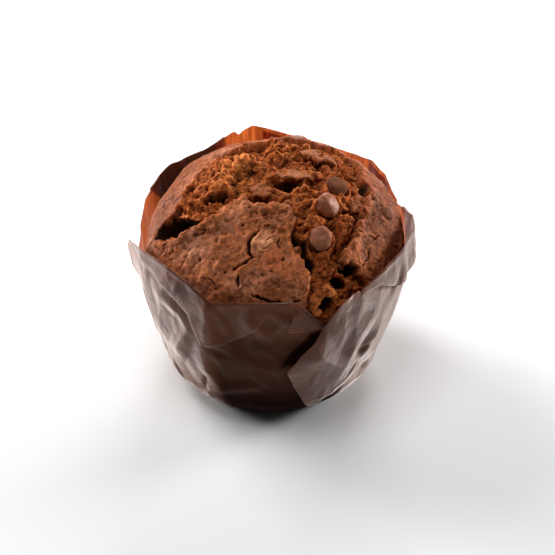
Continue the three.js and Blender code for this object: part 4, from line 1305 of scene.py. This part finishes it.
def colours(tree, value, stops):
    """A colour read from stops of (place, colour) by a value from 0 to 1."""
    node = add_node(tree, "ShaderNodeValToRGB", {"Fac": value})
    bar = node.color_ramp
    while len(bar.elements) < len(stops):
        bar.elements.new(0.5)
    for element, (place, colour) in zip(bar.elements, stops):
        element.position = place
        element.color = (*colour, 1)
    return node.outputs["Color"]


def spread_value(tree, value, from_low, from_high, to_low, to_high):
    """A value moved from one range to another, held at its ends."""
    ranges = {"From Min": from_low, "From Max": from_high, "To Min": to_low, "To Max": to_high}
    inputs = {"Value": value, **ranges}
    return add_node(tree, "ShaderNodeMapRange", inputs, clamp=True).outputs["Result"]


def blend(tree, share, a, b, kind="MIX"):
    """Two colours mixed by a share. The mixing node's inputs 0, 6 and 7 are the share and its colours."""
    inputs = {0: share, 6: a, 7: b}
    return add_node(tree, "ShaderNodeMix", inputs, data_type="RGBA", blend_type=kind).outputs[2]


def multiply(tree, a, b):
    """The product of two values."""
    return add_node(tree, "ShaderNodeMath", {0: a, 1: b}, operation="MULTIPLY").outputs[0]


def bump(tree, height, distance, strength, under=None):
    """A normal tilted by a height field of that many mm, laid over another normal if one is given."""
    inputs = {"Strength": strength, "Distance": distance * MM, "Height": height}
    if under is not None:
        inputs["Normal"] = under
    return add_node(tree, "ShaderNodeBump", inputs).outputs["Normal"]


def start_material(name):
    """A new material, its tree and its main shader."""
    material = bpy.data.materials.new(name)
    material.use_nodes = True
    return material, material.node_tree, material.node_tree.nodes["Principled BSDF"]


# Colours by a value from 0 to 1, as stops of (place, colour).
CRUST_TONES = [(0.36, (0.48, 0.135, 0.04)), (0.5, (0.58, 0.185, 0.07)), (0.62, (0.66, 0.27, 0.15))]
CRUMB_TONES = [(0.35, (0.2, 0.045, 0.011)), (0.5, (0.34, 0.085, 0.022)), (0.65, (0.5, 0.155, 0.042))]
GOLDEN_TONES = [(0.35, (0.36, 0.108, 0.027)), (0.5, (0.58, 0.182, 0.047)), (0.65, (0.76, 0.265, 0.086))]
# Painted shade in gaps and painted light on tops.
CAVITY_SHADE_AND_LIGHT = [(0.1, (0.16, 0.1, 0.08)), (0.42, (0.8, 0.76, 0.72)), (0.56, (1, 1, 1)), (0.9, (1.3, 1.25, 1.2))]
CHOCOLATE_TONES = [(0.35, (0.24, 0.073, 0.03)), (0.52, (0.32, 0.106, 0.05))]
CHOCOLATE_TONES += [(0.62, (0.38, 0.15, 0.082)), (0.74, (0.46, 0.25, 0.16))]
PAPER_TONES = [(0.35, (0.035, 0.011, 0.005)), (0.65, (0.085, 0.03, 0.015))]
GLOW_TONES = [(0.35, (0.3, 0.12, 0.045)), (0.52, (0.43, 0.18, 0.075)), (0.68, (0.58, 0.28, 0.13))]
# Darkening by grease and by painted shade, from brown to near black.
FAT_AND_SHADE_TONES = [(0.25, (0.2, 0.062, 0.022)), (0.65, (0.07, 0.018, 0.006)), (0.9, (0.01, 0.002, 0.001))]
PLAIN_GLOW = (0.38, 0.17, 0.075)
# Painted shade for holes, cracks, pores and the split.
PAINTED_HOLLOW_SHADE = (0.022, 0.006, 0.002)
# Crumb dust and painted shade over a drop.
DUSTED_SHADED_CHOCOLATE = (0.14, 0.046, 0.02)
# Blotches on the crust: noise, the values where they start and are full, strength and colour.
CRUST_BLOTCHES = [
    ("tint", 0.5, 0.62, 0.6, (0.27, 0.066, 0.017)),
    ("tint", 0.46, 0.36, 0.5, (0.36, 0.16, 0.105)),
    ("middle", 0.48, 0.66, 0.8, (0.15, 0.036, 0.01)),
    ("middle", 0.42, 0.32, 0.6, (0.55, 0.2, 0.075)),
    ("fine", 0.55, 0.68, 0.6, (0.56, 0.23, 0.11)),
    ("fine", 0.42, 0.32, 0.55, (0.15, 0.037, 0.012)),
]
# Patches of the crust: number on the points, strength, colour and way of mixing.
CRUST_PATCHES = [
    ("crumbled", 0.5, (0.26, 0.075, 0.022), "MIX"),
    # Darker towards the outer edge, everywhere but at the front.
    ("outer_darkening", 1.0, (0.5, 0.43, 0.38), "MULTIPLY"),
    ("warm", 0.7, (0.74, 0.21, 0.072), "MIX"),
    ("pale", 0.9, (0.82, 0.36, 0.17), "MIX"),
]


def crumb_and_crust():
    """Baked chocolate cake: blotched brown crust with a dull sheen, lighter golden-brown crumb where it is
    torn, with shade painted into its pores, holes, cracks and gaps and light painted on its tops."""
    material, tree, shader = start_material("chocolate_cake")
    place = add_node(tree, "ShaderNodeTexCoord").outputs["Object"]
    fields = {
        "tint": noise(tree, place, 4.5, 3.0, 0.6),
        "middle": noise(tree, place, 1.9, 4.0, 0.65),
        "fine": noise(tree, place, 0.7, 3.0, 0.7),
    }
    torn = number_on_points(tree, "torn")
    crust = colours(tree, noise(tree, place, 9.0), CRUST_TONES)
    for field, start, full, strength, tone in CRUST_BLOTCHES:
        crust = blend(tree, spread_value(tree, fields[field], start, full, 0.0, strength), crust, tone)
    for number, strength, tone, kind in CRUST_PATCHES:
        crust = blend(tree, multiply(tree, number_on_points(tree, number), strength), crust, tone, kind)
    crumb = colours(tree, fields["middle"], CRUMB_TONES)
    golden = colours(tree, fields["middle"], GOLDEN_TONES)
    crumb = blend(tree, number_on_points(tree, "golden"), crumb, golden)
    colour = blend(tree, torn, crust, crumb)
    # Painted shade in gaps and painted light on tops, multiplied over the colour.
    shade = colours(tree, number_on_points(tree, "cavity_shade"), CAVITY_SHADE_AND_LIGHT)
    colour = blend(tree, 1.0, colour, shade, "MULTIPLY")
    # Painted shade: holes, cracks, pores and gaps turned near black.
    colour = blend(tree, number_on_points(tree, "dark"), colour, PAINTED_HOLLOW_SHADE)
    grain = bump(tree, fields["fine"], 0.35, 0.7)
    look = {
        "Base Color": colour,
        "Roughness": spread_value(tree, torn, 0, 1, 0.6, 0.9),
        "IOR": 1.15,
        "Normal": bump(tree, fields["middle"], 0.9, 0.7, grain),
        "Subsurface Weight": 0.3,
        "Subsurface Radius": (1.0, 0.4, 0.2),
        "Subsurface Scale": 1.3 * MM,
    }
    feed(tree, shader, look)
    return material


def baked_chocolate():
    """Chocolate drop after baking: dark brown, satin, with a dull bloom in patches, darker and duller where
    crumb dust lies over it and where shade is painted on it."""
    material, tree, shader = start_material("baked_chocolate")
    place = add_node(tree, "ShaderNodeTexCoord").outputs["Object"]
    # How far crumb dust and painted shade darken and dull the drop.
    crumb_and_shade = number_on_points(tree, "crumb_and_shade")
    bloom = colours(tree, noise(tree, place, 3.2, 3.0), CHOCOLATE_TONES)
    look = {
        "Base Color": blend(tree, crumb_and_shade, bloom, DUSTED_SHADED_CHOCOLATE),
        "Roughness": spread_value(tree, crumb_and_shade, 0.0, 1.0, 0.42, 1.0),
        "IOR": 1.22,
        "Normal": bump(tree, noise(tree, place, 0.5, 2.0), 0.2, 0.25),
    }
    feed(tree, shader, look)
    return material


def baking_paper():
    """Dark brown baking paper: a thin body that lets light through, in upright streaks at the back, under a
    soft sheen of grease, mottled and finely wrinkled. Where grease has darkened it and where shade is
    painted on it, it is dark and lets none through."""
    material, tree, shader = start_material("baking_paper")
    coordinates = add_node(tree, "ShaderNodeTexCoord")
    place = coordinates.outputs["Object"]
    mottle = noise(tree, place, 6.0, 4.0)
    fibre = noise(tree, place, 0.6, 3.0)
    wrinkle = noise(tree, place, 4.0, 2.0, 0.5, 0.8)
    height = add_node(tree, "ShaderNodeMath", {0: wrinkle, 1: 3.0, 2: fibre}, operation="MULTIPLY_ADD")
    relief = bump(tree, height.outputs[0], 0.2, 0.5)
    look = {
        "Base Color": colours(tree, mottle, PAPER_TONES),
        "Roughness": spread_value(tree, mottle, 0.3, 0.7, 0.3, 0.44),
        "IOR": 1.2,
        "Sheen Weight": 1.0,
        "Sheen Roughness": 0.4,
        "Sheen Tint": (1, 0.91, 0.85),
        "Normal": relief,
    }
    feed(tree, shader, look)
    along = {"Vector": coordinates.outputs["UV"], "Scale": (1.0, 0.09, 1.0)}
    upright = add_node(tree, "ShaderNodeMapping", along).outputs["Vector"]
    grain = {"Vector": upright, "Scale": 80.0, "Detail": 4.0, "Roughness": 0.6}
    streaks = colours(tree, add_node(tree, "ShaderNodeTexNoise", grain).outputs["Fac"], GLOW_TONES)
    glow = blend(tree, number_on_points(tree, "streaked"), PLAIN_GLOW, streaks)
    through = add_node(tree, "ShaderNodeBsdfTranslucent", {"Color": glow})
    dry = add_node(tree, "ShaderNodeAddShader", {0: shader.outputs[0], 1: through.outputs[0]})
    # Grease and painted shade: there the sheet turns to a dark matte diffuse, with no sheen and no light
    # through it.
    soaked_and_shaded = number_on_points(tree, "soaked_and_shaded")
    darkening_look = {"Color": colours(tree, soaked_and_shaded, FAT_AND_SHADE_TONES), "Normal": relief}
    greasy_and_shaded = add_node(tree, "ShaderNodeBsdfDiffuse", darkening_look)
    mix = add_node(tree, "ShaderNodeMixShader", {0: soaked_and_shaded, 1: dry.outputs[0], 2: greasy_and_shaded.outputs[0]})
    tree.links.new(mix.outputs[0], tree.nodes["Material Output"].inputs["Surface"])
    return material


def pale_floor():
    """Plain white table top."""
    material, tree, shader = start_material("pale_floor")
    feed(tree, shader, {"Base Color": (0.86, 0.86, 0.86), "Roughness": 0.7})
    return material


# ======== Stage ========
VIEW_SIDE = 555  # side of the square view in pixels
FOCAL_LENGTH = 1847.6  # in pixels of that view
AIM_RIGHT = 7.0  # how far the origin lies left of the view's middle, in pixels
AIM_UP = 79.5  # and how far below it
CAMERA_RISE = 40.0  # degrees above the table
CAMERA_DISTANCE = 0.62  # metres from the origin
# Soft square lights: place and side in metres, power in watts.
LIGHTS = {
    "key_left": ((-0.45, 0.36, 0.5), 0.3, 3.0),
    "top": ((-0.08, -0.12, 0.7), 0.3, 1.6),
    "back": ((0.15, 0.75, 0.35), 0.4, 4.4),
    "low_left": ((-0.56, 0.3, 0.1), 0.2, 5.2),
    "low_right": ((0.6, 0.26, 0.13), 0.2, 5.5),
}
LIGHT_AIM = (0, 0, 0.04)


def make_camera():
    """Camera that looks down on the muffin through a long lens."""
    data = bpy.data.cameras.new("camera")
    camera = bpy.data.objects.new("camera", data)
    bpy.context.scene.collection.objects.link(camera)
    rise = math.radians(CAMERA_RISE)
    data.sensor_width = 36
    data.lens = FOCAL_LENGTH / VIEW_SIDE * data.sensor_width
    right = np.array([1.0, 0, 0])
    up = np.array([0, math.sin(rise), math.cos(rise)])
    ahead = np.array([0, math.cos(rise), -math.sin(rise)])
    camera.location = (-CAMERA_DISTANCE * ahead).tolist()
    look = ahead + right * (AIM_RIGHT / FOCAL_LENGTH) + up * (AIM_UP / FOCAL_LENGTH)
    camera.rotation_mode = "QUATERNION"
    camera.rotation_quaternion = Vector(look).to_track_quat("-Z", "Y")
    data.clip_start = 0.01
    data.clip_end = 20
    bpy.context.scene.camera = camera


def area_light(name, place, side, power):
    """A square soft light at a place, facing the muffin."""
    data = bpy.data.lights.new(name, "AREA")
    data.shape = "SQUARE"
    data.size = side
    data.energy = power
    light = bpy.data.objects.new(name, data)
    light.location = place
    light.rotation_mode = "QUATERNION"
    light.rotation_quaternion = (Vector(LIGHT_AIM) - Vector(place)).to_track_quat("-Z", "Y")
    bpy.context.scene.collection.objects.link(light)


def set_stage():
    """Floor, soft lights, pale surroundings and camera."""
    make_camera()
    for name, light in LIGHTS.items():
        area_light(name, *light)
    world = bpy.data.worlds.new("studio")
    world.use_nodes = True
    background = world.node_tree.nodes["Background"]
    feed(world.node_tree, background, {"Color": (1, 1, 1), "Strength": 0.03})
    bpy.context.scene.world = world
    bpy.context.scene.view_settings.view_transform = "Standard"
    mesh = bpy.data.meshes.new("floor")
    far = 3  # metres to each side
    mesh.from_pydata([(-far, -far, 0), (far, -far, 0), (far, far, 0), (-far, far, 0)], [], [(0, 1, 2, 3)])
    mesh.materials.append(pale_floor())
    floor = bpy.data.objects.new("floor", mesh)
    bpy.context.scene.collection.objects.link(floor)


# ======== The muffin ========
cake = crumb_and_crust()
cake_piece(cake)
crumb_piece(cake)
slab_pieces(cake)
for name, recipe in SCATTERS.items():
    crumb_scatter(name, *recipe, cake)
chocolate = baked_chocolate()
for number, name in enumerate(DROPS):
    drop_piece(name, number + 1, chocolate)
paper = baking_paper()
paper_cup(paper)
side_fold(paper)
folded_tip(paper)
for name, recipe in CORNERS.items():
    turned_down_corner(name, *recipe, paper)
for name, recipe in PLEATS.items():
    pleat(name, *recipe, paper)

set_stage()
